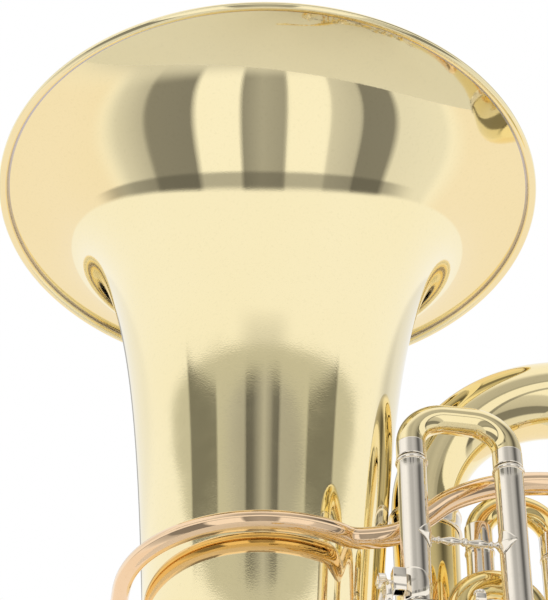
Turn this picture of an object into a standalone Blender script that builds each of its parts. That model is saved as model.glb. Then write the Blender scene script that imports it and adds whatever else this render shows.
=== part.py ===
"""Rotary-valve tuba, bell upright, in metres.

+Z is up, +X runs from the bell to the outer branch and -Y is the valve side.
The origin is the lowest point of the bottom bow's guard.
"""
import math

import bmesh
import bpy
from mathutils import Matrix, Vector

# ---- driving dimensions ----
ROUND = 32                 # sides of the bell, then of the large, middle and small tubes
BIG = 16
MIDDLE = 12
SMALL = 8
BELL_X = -0.1795           # bell axis; the outer branch stands the same distance on the other side
RIM_Z = 0.98               # top of the rim bead, which is the overall height
RIM_R = 0.21               # outer radius of the rim bead
BELL_SCALE = 0.0618        # flare law: radius = scale * (depth + shift) ** -power
BELL_SHIFT = 0.0155
BELL_POWER = 0.2935
BELL_LAW_DEPTH = 0.52      # below this depth the bell narrows by a parabola instead
BELL_LOW_SLOPE = 0.0407
BELL_LOW_CURVE = 0.0981
BOW_Z = 0.2335             # height of the two ends of the bottom bow
BOW_R = 0.1795             # centreline radius of the bottom bow
BOW_BELL_R = 0.0600        # tube radius where the bottom bow meets the bell
BOW_OUTER_R = 0.0430       # tube radius where it meets the outer branch
TOP_BOW_Z = 0.69
TOP_BOW_R = 0.122
TOP_BOW_X = 0.0575
TOP_BOW_WIDE = 0.0355
TOP_BOW_NARROW = 0.0236
SECOND_X = TOP_BOW_X - TOP_BOW_R
SECOND_LOW_R = 0.0185
WALL = 0.0007
GAP = 0.0003
FERRULE = 0.0012
SLIDE_X = (-0.1010, -0.0366)   # the tuning slide's two legs
SLIDE_Y = -0.12
SLIDE_TOP_Z = 0.6975           # outside of the crook's crown
SLEEVE_R = 0.0095
SLEEVE_TOP_Z = 0.652
SLEEVE_LOW_Z = 0.470
CROOK_R = 0.0097
PIPE_Z = 0.612                 # height of the leadpipe where it rounds the bell
PIPE_ROUND = 0.0955            # its centreline radius there
VALVE_X = 0.06
VALVE_Y = -0.06
VALVE_Z = (0.500, 0.443, 0.386, 0.329)
VALVE_HALF = 0.025             # half the casing's length
CASING_R = 0.0205
ROTOR_R = 0.0178
PORT = 0.0155                  # each port's offset from the valve's middle
TUBE_R = 0.0093
SLIDE_LEG = 0.075          # how far a slide's inner legs run into their sleeves
STUB = 0.030                   # how far a port's stub reaches from the valve's middle
ROD_Y = -0.1048
HINGE = (-0.068, -0.145)
ARM = 0.0402
PRESS = math.radians(20.25)
STOP_ARM = 0.010
TOUCH_Z = (0.4710, 0.4450, 0.4190, 0.3930)

for old in list(bpy.data.objects):
    bpy.data.objects.remove(old, do_unlink=True)


# ---- materials ----
def material(name, colour, roughness, metallic=1.0):
    made = bpy.data.materials.new(name)
    made.use_nodes = True
    shader = made.node_tree.nodes["Principled BSDF"]
    shader.inputs["Base Color"].default_value = (*colour, 1.0)
    shader.inputs["Roughness"].default_value = roughness
    shader.inputs["Metallic"].default_value = metallic
    return made


BRASS = material("yellow_brass", (0.80, 0.62, 0.25), 0.12)
GOLD = material("gold_brass", (0.82, 0.50, 0.28), 0.12)
NICKEL = material("nickel_silver", (0.66, 0.62, 0.55), 0.14)
STEEL = material("steel", (0.55, 0.55, 0.56), 0.20)
SILVER = material("silver_plate", (0.80, 0.79, 0.76), 0.10)


# ---- mesh helpers ----
def finish(name, bm, mat, origin=(0, 0, 0), smooth=True):
    """Closes a bmesh into a named object whose own origin is at the point given."""
    bmesh.ops.recalc_face_normals(bm, faces=bm.faces)
    bmesh.ops.translate(bm, verts=bm.verts, vec=-Vector(origin))
    mesh = bpy.data.meshes.new(name)
    bm.to_mesh(mesh)
    bm.free()
    for face in mesh.polygons:
        face.use_smooth = smooth
    mesh.materials.append(mat)
    made = bpy.data.objects.new(name, mesh)
    made.location = origin
    bpy.context.scene.collection.objects.link(made)
    return made


def frames(path, ref, ends=None):
    """A normal and a binormal at each point, carried along the path without twist.

    ends holds the exact directions at a curve's two ends, which its first and last chords miss.
    """
    points = [Vector(p) for p in path]
    tangents = []
    for i, here in enumerate(points):
        before = points[max(i - 1, 0)]
        after = points[min(i + 1, len(points) - 1)]
        step_in = (here - before).normalized()
        step_out = (after - here).normalized()
        tangents.append((step_in + step_out).normalized())
    if ends:
        tangents[0] = Vector(ends[0]).normalized()
        tangents[-1] = Vector(ends[1]).normalized()
    normal = Vector(ref)
    found = []
    for tangent in tangents:
        normal = (normal - tangent * normal.dot(tangent)).normalized()
        found.append((normal.copy(), tangent.cross(normal)))
    return points, found


def ring(bm, centre, normal, binormal, radius, count):
    spots = []
    for k in range(count):
        turn = 2 * math.pi * k / count
        way = math.cos(turn) * normal + math.sin(turn) * binormal
        spots.append(bm.verts.new(centre + radius * way))
    return spots


def skin(bm, rings, closed):
    count = len(rings[0])
    pairs = list(zip(rings, rings[1:]))
    if closed:
        pairs.append((rings[-1], rings[0]))
    for low, high in pairs:
        for k in range(count):
            n = (k + 1) % count
            bm.faces.new((low[k], low[n], high[n], high[k]))


def tube_mesh(path, outer, inner, count, ref=(0, 1, 0), ends=None):
    """A pipe open at both ends. The radii are one value or one per point; inner None makes a solid rod."""
    points, axes = frames(path, ref, ends)
    last = len(points) - 1
    outers = outer if isinstance(outer, (list, tuple)) else [outer] * (last + 1)
    bm = bmesh.new()
    shell = [ring(bm, p, *a, r, count) for p, a, r in zip(points, axes, outers)]
    if inner is None:
        skin(bm, shell, False)
        bm.faces.new(shell[0])
        bm.faces.new(shell[-1])
        return bm
    inners = inner if isinstance(inner, (list, tuple)) else [inner] * (last + 1)
    core = [ring(bm, p, *a, r, count) for p, a, r in zip(points, axes, inners)]
    skin(bm, shell + core[::-1], True)
    return bm


def tube(name, path, outer, inner, mat, count=12, ref=(0, 1, 0), origin=(0, 0, 0), ends=None):
    return finish(name, tube_mesh(path, outer, inner, count, ref, ends), mat, origin)


def lathe(name, profile, mat, count=40, base=(0, 0, 0), axis=(0, 0, 1), origin=(0, 0, 0)):
    """Turns a closed profile of (radius, height) pairs about an axis; no pair lies on the axis."""
    bm = bmesh.new()
    turn = Vector((0, 0, 1)).rotation_difference(Vector(axis)).to_matrix()
    rings = []
    for radius, height in profile:
        centre = Vector(base) + turn @ Vector((0, 0, height))
        rings.append(ring(bm, centre, turn @ Vector((0, 1, 0)), turn @ Vector((1, 0, 0)), radius, count))
    skin(bm, rings, True)
    return finish(name, bm, mat, origin)


def rod(name, start, end, radius, mat, count=12, ref=(0, 1, 0)):
    return tube(name, [start, end], radius, None, mat, count, ref)


def box(name, low, high, mat, turn=None, about=(0, 0, 0)):
    bm = bmesh.new()
    bmesh.ops.create_cube(bm, size=1.0)
    size = Vector(high) - Vector(low)
    middle = (Vector(high) + Vector(low)) / 2
    bmesh.ops.scale(bm, verts=bm.verts, vec=size)
    bmesh.ops.translate(bm, verts=bm.verts, vec=middle)
    if turn is not None:
        bmesh.ops.rotate(bm, verts=bm.verts, cent=about, matrix=turn)
    return finish(name, bm, mat, smooth=False)


def combine(body, others, operation):
    """Applies one exact Boolean per helper and removes the helper."""
    for other in others:
        step = body.modifiers.new("step", "BOOLEAN")
        step.operation = operation
        step.solver = "EXACT"
        step.object = other
        bpy.context.view_layer.update()
        graph = bpy.context.evaluated_depsgraph_get()
        mesh = bpy.data.meshes.new_from_object(body.evaluated_get(graph))
        body.modifiers.clear()
        body.data = mesh
        bpy.data.objects.remove(other, do_unlink=True)
    return body


def settle(body, origin):
    """Moves the object's own origin to a joint's axis and leaves its shape where it is."""
    body.data.transform(Matrix.Translation(-Vector(origin)))
    body.location = origin
    return body


def arc(centre, radius, start, end, steps, u=(1, 0, 0), v=(0, 0, 1)):
    """Points on a circle in the plane of u and v, in degrees."""
    found = []
    for k in range(steps + 1):
        turn = math.radians(start + (end - start) * k / steps)
        way = math.cos(turn) * Vector(u) + math.sin(turn) * Vector(v)
        found.append(Vector(centre) + radius * way)
    return found


def filleted(corners, radii, steps=5):
    """A path through corners, each corner rounded by an arc of the radius given."""
    points = [Vector(c) for c in corners]
    found = [points[0]]
    for i in range(1, len(points) - 1):
        here = points[i]
        back = (points[i - 1] - here).normalized()
        ahead = (points[i + 1] - here).normalized()
        half = back.angle(ahead) / 2
        radius = radii[i - 1]
        reach = radius / math.tan(half)
        centre = here + (back + ahead).normalized() * (radius / math.sin(half))
        first = here + back * reach
        last = here + ahead * reach
        a = first - centre
        b = last - centre
        sweep = a.angle(b)
        for k in range(steps + 1):
            t = k / steps
            way = a * math.sin((1 - t) * sweep) + b * math.sin(t * sweep)
            found.append(centre + way / math.sin(sweep))
    found.append(points[-1])
    return found


def spread(count, first, last):
    return [first + (last - first) * k / (count - 1) for k in range(count)]


def along(path, first, last):
    """Radii that run evenly with the length of the path."""
    lengths = [0.0]
    for a, b in zip(path, path[1:]):
        lengths.append(lengths[-1] + (Vector(b) - Vector(a)).length)
    return [first + (last - first) * s / lengths[-1] for s in lengths]


def less(radii, amount):
    return [r - amount for r in radii]


UP = (0, 0, 1)
DOWN = (0, 0, -1)


# ---- bell ----
def bell_radius(depth):
    if depth <= BELL_LAW_DEPTH:
        return BELL_SCALE * (depth + BELL_SHIFT) ** -BELL_POWER
    start = BELL_SCALE * (BELL_LAW_DEPTH + BELL_SHIFT) ** -BELL_POWER
    more = depth - BELL_LAW_DEPTH
    return start - BELL_LOW_SLOPE * more - BELL_LOW_CURVE * more ** 2


def bell_profile():
    depths = (RIM_Z - BOW_Z - GAP, 0.62, 0.52, 0.42, 0.32, 0.22, 0.13, 0.075, 0.042, 0.022, 0.011, 0.0045)
    outside = [(bell_radius(d), RIM_Z - d) for d in depths]
    inside = []
    for d in depths:
        slope = (bell_radius(d + 1e-5) - bell_radius(d - 1e-5)) / 2e-5
        size = math.hypot(1.0, slope)
        inside.append((bell_radius(d) - WALL / size, RIM_Z - d - WALL * slope / size))
    bead = [
        (RIM_R - 0.0068, RIM_Z - 0.0060),
        (RIM_R - 0.0020, RIM_Z - 0.0062),
        (RIM_R, RIM_Z - 0.0032),
        (RIM_R - 0.0016, RIM_Z),
        (RIM_R - 0.0050, RIM_Z),
    ]
    return outside + bead + inside[::-1]


lathe("bell", bell_profile(), BRASS, ROUND, (BELL_X, 0, 0))

# ---- large bows and branches ----
bottom_path = arc((0, 0, BOW_Z), BOW_R, 180, 360, 12)
bottom_radii = spread(13, BOW_BELL_R, BOW_OUTER_R)
tube("bottom_bow", bottom_path, bottom_radii, less(bottom_radii, WALL), BRASS, BIG, ends=(DOWN, UP))
OUTER_TOP_R = TOP_BOW_WIDE
outer_path = [(BOW_R, 0, BOW_Z + GAP), (BOW_R, 0, TOP_BOW_Z - GAP)]
outer_radii = [BOW_OUTER_R, OUTER_TOP_R]
tube("outer_branch", outer_path, outer_radii, less(outer_radii, WALL), BRASS, BIG)
top_path = arc((TOP_BOW_X, 0, TOP_BOW_Z), TOP_BOW_R, 0, 180, 10)
top_radii = spread(11, TOP_BOW_WIDE, TOP_BOW_NARROW)
tube("top_bow", top_path, top_radii, less(top_radii, WALL), BRASS, BIG, ends=(UP, DOWN))
second_path = [(SECOND_X, 0, TOP_BOW_Z - GAP), (SECOND_X, 0, BOW_Z + GAP)]
second_radii = [TOP_BOW_NARROW, SECOND_LOW_R]
tube("second_branch", second_path, second_radii, less(second_radii, WALL), BRASS, BIG)

across = Vector((SLIDE_X[0] - SECOND_X, SLIDE_Y, 0))
half_way = Vector((SECOND_X, 0, BOW_Z)) + across / 2
inner_path = arc(half_way, across.length / 2, 180, 360, 8, across.normalized(), (0, 0, 1))
inner_radii = spread(9, SECOND_LOW_R, 0.0108)
beside = across.cross(Vector((0, 0, 1)))
tube("inner_bottom_bow", inner_path, inner_radii, less(inner_radii, WALL), BRASS, MIDDLE, beside,
     ends=(DOWN, UP))
feed_path = [(SLIDE_X[0], SLIDE_Y, BOW_Z + GAP), (SLIDE_X[0], SLIDE_Y, SLEEVE_LOW_Z - GAP)]
tube("feed_branch", feed_path, [0.0108, SLEEVE_R], [0.0099, SLEEVE_R - WALL], BRASS, MIDDLE, beside)


def ferrule(name, x, y, z, low_r, high_r, mat, count, length=0.020, ref=(0, 1, 0)):
    """A sleeve over a joint. low_r and high_r are the tube's own radii at the sleeve's two ends."""
    path = [(x, y, z - length / 2), (x, y, z + length / 2)]
    inner = [low_r + GAP, high_r + GAP]
    tube(name, path, [inner[0] + FERRULE, inner[1] + FERRULE], inner, mat, count, ref)


ferrule("bell_ferrule", BELL_X, 0, BOW_Z + 0.0105,
        BOW_BELL_R + 0.0008, BOW_BELL_R + 0.0022, NICKEL, ROUND, 0.024)
ferrule("outer_ferrule_low", BOW_R, 0, BOW_Z + 0.0095,
        BOW_OUTER_R + 0.0006, BOW_OUTER_R + 0.0004, NICKEL, BIG, 0.022)
ferrule("outer_ferrule_top", BOW_R, 0, TOP_BOW_Z - 0.0085,
        TOP_BOW_WIDE + 0.0006, TOP_BOW_WIDE + 0.0004, NICKEL, BIG)
ferrule("inner_ferrule_top", SECOND_X, 0, TOP_BOW_Z - 0.0065,
        TOP_BOW_NARROW + 0.0003, TOP_BOW_NARROW + 0.0006, NICKEL, BIG, 0.016)


# ---- guard under the bottom bow ----
def guard_mesh():
    """A shell that hugs the underside of the bow over the middle of its sweep."""
    bm = bmesh.new()
    rings = []
    for k in range(7):
        turn = math.radians(225 + 15 * k)
        outward = Vector((math.cos(turn), 0, math.sin(turn)))
        share = (math.degrees(turn) - 180) / 180
        radius = BOW_BELL_R + (BOW_OUTER_R - BOW_BELL_R) * share
        centre = Vector((0, 0, BOW_Z)) + BOW_R * outward
        loop = []
        for layer in (radius + 0.0011, radius + 0.0023):
            row = []
            for j in range(7):
                swing = math.radians(-67.5 + 22.5 * j)
                across_way = math.cos(swing) * outward + math.sin(swing) * Vector((0, 1, 0))
                row.append(centre + layer * across_way)
            loop += row if layer < radius + 0.0015 else row[::-1]
        rings.append([bm.verts.new(p) for p in loop])
    skin(bm, rings, False)
    bm.faces.new(rings[0])
    bm.faces.new(rings[-1])
    return bm


finish("bow_guard", guard_mesh(), NICKEL)

# ---- tuning slide ----
for side, x in zip(("left", "right"), SLIDE_X):
    heights = (SLEEVE_LOW_Z, SLEEVE_TOP_Z - 0.0035, SLEEVE_TOP_Z - 0.0020, SLEEVE_TOP_Z)
    sleeve_path = [(x, SLIDE_Y, z) for z in heights]
    outers = [SLEEVE_R, SLEEVE_R, SLEEVE_R + 0.0010, SLEEVE_R + 0.0002]
    tube("tuning_sleeve_" + side, sleeve_path, outers, SLEEVE_R - 0.0008, NICKEL, MIDDLE)

SLIDE_MID = sum(SLIDE_X) / 2
SPAN = (SLIDE_X[1] - SLIDE_X[0]) / 2
CORNER = 0.0305
CROWN = SLIDE_TOP_Z - CROOK_R
INNER_R = SLEEVE_R - 0.0008 - GAP
crook_path = filleted(
    [(SLIDE_X[0], SLIDE_Y, SLEEVE_TOP_Z + 0.0005), (SLIDE_X[0], SLIDE_Y, CROWN),
     (SLIDE_X[1], SLIDE_Y, CROWN), (SLIDE_X[1], SLIDE_Y, SLEEVE_TOP_Z + 0.0005)],
    [CORNER, CORNER], 5)
low_z = SLEEVE_TOP_Z - SLIDE_LEG - 0.030
crook_path = [(SLIDE_X[0], SLIDE_Y, low_z), (SLIDE_X[0], SLIDE_Y, SLEEVE_TOP_Z + 0.0003)] + crook_path
crook_path += [(SLIDE_X[1], SLIDE_Y, SLEEVE_TOP_Z + 0.0003), (SLIDE_X[1], SLIDE_Y, low_z)]
crook_outer = [INNER_R] * 2 + [CROOK_R] * (len(crook_path) - 4) + [INNER_R] * 2
tube("tuning_crook", crook_path, crook_outer, INNER_R - 0.0008, BRASS, MIDDLE, (0, 1, 0),
     (SLIDE_MID, SLIDE_Y, SLEEVE_TOP_Z))

brace_z = 0.592
half_brace = SPAN - SLEEVE_R - 0.0004
brace = lathe("tuning_brace", [
    (0.0004, -half_brace), (0.0062, -half_brace), (0.0022, -half_brace + 0.0030),
    (0.0034, -half_brace + 0.0085), (0.0020, -half_brace + 0.0135),
    (0.0034, 0.0), (0.0020, half_brace - 0.0135),
    (0.0034, half_brace - 0.0085), (0.0022, half_brace - 0.0030),
    (0.0062, half_brace), (0.0004, half_brace)],
    NICKEL, 8, (SLIDE_MID, SLIDE_Y, brace_z), (1, 0, 0))

# ---- lyre holder on the left sleeve ----
lyre_x = SLIDE_X[0] - SLEEVE_R
lyre_z = 0.5525
socket = box("lyre_socket", (lyre_x - 0.0080, SLIDE_Y - 0.0135, lyre_z - 0.0080),
             (lyre_x + 0.0020, SLIDE_Y - 0.0035, lyre_z + 0.0080), NICKEL)
saddle = tube("saddle", [(SLIDE_X[0], SLIDE_Y, lyre_z - 0.010), (SLIDE_X[0], SLIDE_Y, lyre_z + 0.010)],
              SLEEVE_R + 0.0015, SLEEVE_R + GAP, NICKEL, MIDDLE)
half_cut = box("half_cut", (SLIDE_X[0] - 0.03, SLIDE_Y + 0.0004, lyre_z - 0.02),
               (SLIDE_X[0] + 0.03, SLIDE_Y + 0.03, lyre_z + 0.02), NICKEL)
bore = rod("bore", (SLIDE_X[0], SLIDE_Y, lyre_z - 0.02), (SLIDE_X[0], SLIDE_Y, lyre_z + 0.02),
           SLEEVE_R + GAP, NICKEL, MIDDLE)
slot = box("slot", (lyre_x - 0.0064, SLIDE_Y - 0.0119, lyre_z - 0.02),
           (lyre_x - 0.0012, SLIDE_Y - 0.0051, lyre_z + 0.0064), NICKEL)
screw_hole = rod("screw_hole", (lyre_x - 0.0110, SLIDE_Y - 0.0085, lyre_z - 0.001),
                 (lyre_x - 0.0040, SLIDE_Y - 0.0085, lyre_z - 0.001), 0.0018, NICKEL, 12, (0, 0, 1))
combine(saddle, [half_cut], "DIFFERENCE")
combine(socket, [saddle], "UNION")
combine(socket, [bore, slot, screw_hole], "DIFFERENCE")
screw_at = (lyre_x - 0.0080, SLIDE_Y - 0.0085, lyre_z - 0.001)
steps = (-0.0100, -0.0095, -0.0045, -0.0040, -0.0032, 0.0035)
screw_path = [(screw_at[0] + d, screw_at[1], screw_at[2]) for d in steps]
screw_radii = [0.0046, 0.0050, 0.0050, 0.0046, 0.0015, 0.0015]
screw = tube("lyre_screw", screw_path, screw_radii, None, NICKEL, 12, (0, 0, 1))
settle(screw, screw_at)

# ---- leadpipe, receiver and mouthpiece ----
round_path = arc((BELL_X, 0, PIPE_Z), PIPE_ROUND, 182, 298, 8, (1, 0, 0), (0, 1, 0))
tail = [(-0.1172, -0.0865, 0.6128), (-0.1020, -0.0890, 0.6170), (-0.0860, -0.0900, 0.6300),
        (-0.0560, -0.0880, 0.6535), (-0.0380, -0.0865, 0.6620), (0.0060, -0.0850, 0.6705)]
down = filleted([(0.0300, -0.0835, 0.6705), (0.1150, -0.0700, 0.6660), (0.1150, VALVE_Y, VALVE_Z[0] + PORT),
                 (VALVE_X + STUB + GAP, VALVE_Y, VALVE_Z[0] + PORT)], [0.040, 0.0170], 3)
head = [(BELL_X - 0.0935, 0.055, 0.6180), (BELL_X - 0.0950, 0.028, 0.6140)]
pipe_path = head + round_path + tail + down
pipe_radii = along(pipe_path, 0.0058, 0.0093)
tube("leadpipe", pipe_path, pipe_radii, less(pipe_radii, WALL), GOLD, SMALL, (0, 0, 1))
aim = (Vector(head[0]) - Vector(head[1])).normalized()
mouth = Vector(head[0]) - aim * 0.012
receiver_path = [mouth + aim * d for d in (0.0, 0.004, 0.046, 0.0485, 0.054)]
tube("receiver", receiver_path, [0.0072, 0.0082, 0.0086, 0.0100, 0.0096],
     [0.0065, 0.0065, 0.0070, 0.0070, 0.0070], NICKEL, MIDDLE, (0, 0, 1))
seat = mouth + aim * 0.030
cup_path = [seat + aim * d for d in (0.0, 0.045, 0.055, 0.064, 0.073, 0.084, 0.086)]
cup_outer = [0.0060, 0.0075, 0.0085, 0.0130, 0.0172, 0.0192, 0.0180]
cup_inner = [0.0052, 0.0042, 0.0040, 0.0075, 0.0130, 0.0163, 0.0168]
settle(tube("mouthpiece", cup_path, cup_outer, cup_inner, SILVER, MIDDLE, (0, 0, 1)), seat)

# ---- valves ----
front_y = VALVE_Y - VALVE_HALF
back_y = VALVE_Y + VALVE_HALF


def stub_path(z, side, first=0.0):
    return [(VALVE_X + side * first, VALVE_Y, z), (VALVE_X + side * STUB, VALVE_Y, z)]


for number, z in enumerate(VALVE_Z, 1):
    casing = rod("valve_casing_%d" % number, (VALVE_X, front_y, z), (VALVE_X, back_y + 0.0035, z),
                 CASING_R, BRASS, BIG, (0, 0, 1))
    stubs = []
    bores = []
    for dz in (PORT, -PORT):
        stubs.append(rod("stub", (VALVE_X - STUB, VALVE_Y, z + dz), (VALVE_X + STUB, VALVE_Y, z + dz),
                         TUBE_R, BRASS, SMALL))
        for side in (-1, 1):
            bores.append(rod("bore", (VALVE_X + side * 0.0060, VALVE_Y, z + dz),
                             (VALVE_X + side * (STUB + 0.01), VALVE_Y, z + dz), TUBE_R - WALL, BRASS, SMALL))
    combine(casing, stubs, "UNION")
    chamber = rod("chamber", (VALVE_X, front_y - 0.01, z), (VALVE_X, back_y, z),
                  0.0185, BRASS, BIG, (0, 0, 1))
    combine(casing, [chamber] + bores, "DIFFERENCE")
    cap_profile = [(0.0037, 0.0), (0.0220, 0.0), (0.0220, 0.0032),
                   (0.0205, 0.0040), (0.0080, 0.0040), (0.0037, 0.0052)]
    lathe("valve_cap_%d" % number, cap_profile, NICKEL, BIG, (VALVE_X, front_y - GAP, z), (0, -1, 0))
    rotor = rod("rotor_%d" % number, (VALVE_X, front_y + 0.003, z), (VALVE_X, back_y - 0.001, z),
                ROTOR_R, BRASS, BIG, (0, 0, 1))
    grooves = []
    for side in (-1, 1):
        groove_x = VALVE_X + side * 0.0155
        grooves.append(rod("groove", (groove_x, VALVE_Y, z - 0.03), (groove_x, VALVE_Y, z + 0.03),
                           0.0085, BRASS, SMALL))
    combine(rotor, grooves, "DIFFERENCE")
    spindle = rod("spindle", (VALVE_X, ROD_Y + 0.0040, z), (VALVE_X, front_y + 0.006, z),
                  0.0032, BRASS, SMALL, (0, 0, 1))
    hub = rod("hub", (VALVE_X, ROD_Y + 0.0020, z), (VALVE_X, ROD_Y + 0.0085, z),
              0.0052, BRASS, SMALL, (0, 0, 1))
    turn = Matrix.Rotation(math.radians(-45), 3, "Y")
    arm = box("arm", (VALVE_X - 0.0026, ROD_Y + 0.0030, z),
              (VALVE_X + 0.0026, ROD_Y + 0.0065, z + STOP_ARM + 0.0024), BRASS, turn, (VALVE_X, 0, z))
    pin_x = VALVE_X - STOP_ARM * math.sin(math.radians(45))
    pin_z = z + STOP_ARM * math.cos(math.radians(45))
    pin = rod("pin", (pin_x, ROD_Y - 0.0032, pin_z), (pin_x, ROD_Y + 0.0045, pin_z),
              0.0012, BRASS, 8, (0, 0, 1))
    combine(rotor, [spindle, hub, arm, pin], "UNION")
    settle(rotor, (VALVE_X, VALVE_Y, z))

for number in (1, 2, 3):
    low = VALVE_Z[number - 1] - PORT
    high = VALVE_Z[number] + PORT
    x = VALVE_X + STUB + GAP
    bend = (low - high) / 2
    knuckle_path = arc((x, VALVE_Y, (low + high) / 2), bend, 90, -90, 6)
    tube("knuckle_%d" % number, knuckle_path, TUBE_R, TUBE_R - WALL, BRASS, SMALL,
         ends=((1, 0, 0), (-1, 0, 0)))

exit_path = filleted(
    [(VALVE_X + STUB + GAP, VALVE_Y, VALVE_Z[3] - PORT), (0.112, VALVE_Y, VALVE_Z[3] - PORT),
     (0.112, VALVE_Y, 0.236), (SLIDE_X[1], SLIDE_Y, 0.236), (SLIDE_X[1], SLIDE_Y, SLEEVE_LOW_Z - GAP)],
    [0.0190, 0.034, 0.034], 3)
tube("exit_bow", exit_path, TUBE_R, TUBE_R - WALL, BRASS, SMALL)


# ---- valve slides ----
def valve_slide(number, feet, sleeve_ends, way, reach, brace_share, feet_mid=None, mat=BRASS):
    """One loop: two sleeves tied by a brace, and the crook whose inner legs run in them.

    feet holds the two paths from the ports to where the sleeves' ends are, way is the
    direction in which the crook pulls out and reach is how far the crown stands past the ends.
    """
    way = Vector(way)
    ends = [Vector(e) for e in sleeve_ends]
    sleeves = []
    for foot, end in zip(feet, ends):
        path = [end, end - way * 0.0022, end - way * 0.0040] + list(foot)[::-1]
        outer = [TUBE_R + 0.0002, TUBE_R + 0.0009, TUBE_R] + [TUBE_R] * len(foot)
        side = (ends[1] - ends[0]).cross(way)
        sleeves.append(tube("slide_sleeves_%d" % number, path, outer, TUBE_R - 0.0008, mat, SMALL, side))
    gap_way = (ends[1] - ends[0]).normalized()
    a = ends[0] - way * brace_share + gap_way * (TUBE_R - 0.0009)
    b = ends[1] - way * brace_share - gap_way * (TUBE_R - 0.0009)
    tie = rod("tie", a, b, 0.0022, mat, 6, way)
    combine(sleeves[0], [tie, sleeves[1]], "UNION")
    spacing = (ends[1] - ends[0]).length
    corner = min(spacing / 2 - 0.0001, 0.024)
    crown = [e + way * reach for e in ends]
    lip = [e + way * 0.0005 for e in ends]
    bend = filleted([lip[0], crown[0], crown[1], lip[1]], [corner, corner], 4)
    path = [ends[0] - way * SLIDE_LEG, lip[0] - way * 0.0002] + bend
    path += [lip[1] - way * 0.0002, ends[1] - way * SLIDE_LEG]
    leg_r = TUBE_R - 0.0008 - GAP
    outer = [leg_r, leg_r] + [TUBE_R] * len(bend) + [leg_r, leg_r]
    middle = (ends[0] + ends[1]) / 2
    tube("slide_crook_%d" % number, path, outer, leg_r - 0.0008, mat, SMALL, side, middle)


left_x = VALVE_X - STUB - GAP
z1 = VALVE_Z[0]
low_foot = [(left_x, VALVE_Y, z1 - PORT), (-0.0428, VALVE_Y, z1 - PORT), (-0.0428, VALVE_Y, 0.60)]
high_foot = [(left_x, VALVE_Y, z1 + PORT), (0.0085, VALVE_Y, z1 + PORT), (0.0085, VALVE_Y, 0.60)]
valve_slide(1, [filleted(low_foot, [0.022], 3)[:-1], filleted(high_foot, [0.018], 3)[:-1]],
            [(-0.0428, VALVE_Y, 0.6265), (0.0085, VALVE_Y, 0.6265)], (0, 0, 1), 0.0385, 0.045)
z2 = VALVE_Z[1]
FRONT_Y = -0.0890
low_foot = [(left_x, VALVE_Y, z2 - PORT), (0.0140, VALVE_Y, z2 - PORT),
            (-0.0660, FRONT_Y, z2 - PORT), (-0.0660, FRONT_Y, 0.52)]
high_foot = [(left_x, VALVE_Y, z2 + PORT), (0.0200, VALVE_Y, z2 + PORT),
             (-0.0160, FRONT_Y, z2 + PORT + 0.001), (-0.0160, FRONT_Y, 0.52)]
valve_slide(2, [filleted(low_foot, [0.012, 0.022], 3)[:-1], filleted(high_foot, [0.012, 0.018], 3)[:-1]],
            [(-0.0660, FRONT_Y, 0.556), (-0.0160, FRONT_Y, 0.556)], (0, 0, 1), 0.0270, 0.025)
for number, tip in ((3, -0.060), (4, -0.072)):
    z = VALVE_Z[number - 1]
    valve_slide(number, [[(left_x, VALVE_Y, z + PORT), (tip + 0.03, VALVE_Y, z + PORT)],
                         [(left_x, VALVE_Y, z - PORT), (tip + 0.03, VALVE_Y, z - PORT)]],
                [(tip, VALVE_Y, z + PORT), (tip, VALVE_Y, z - PORT)], (-1, 0, 0), 0.0170, 0.030)

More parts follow.
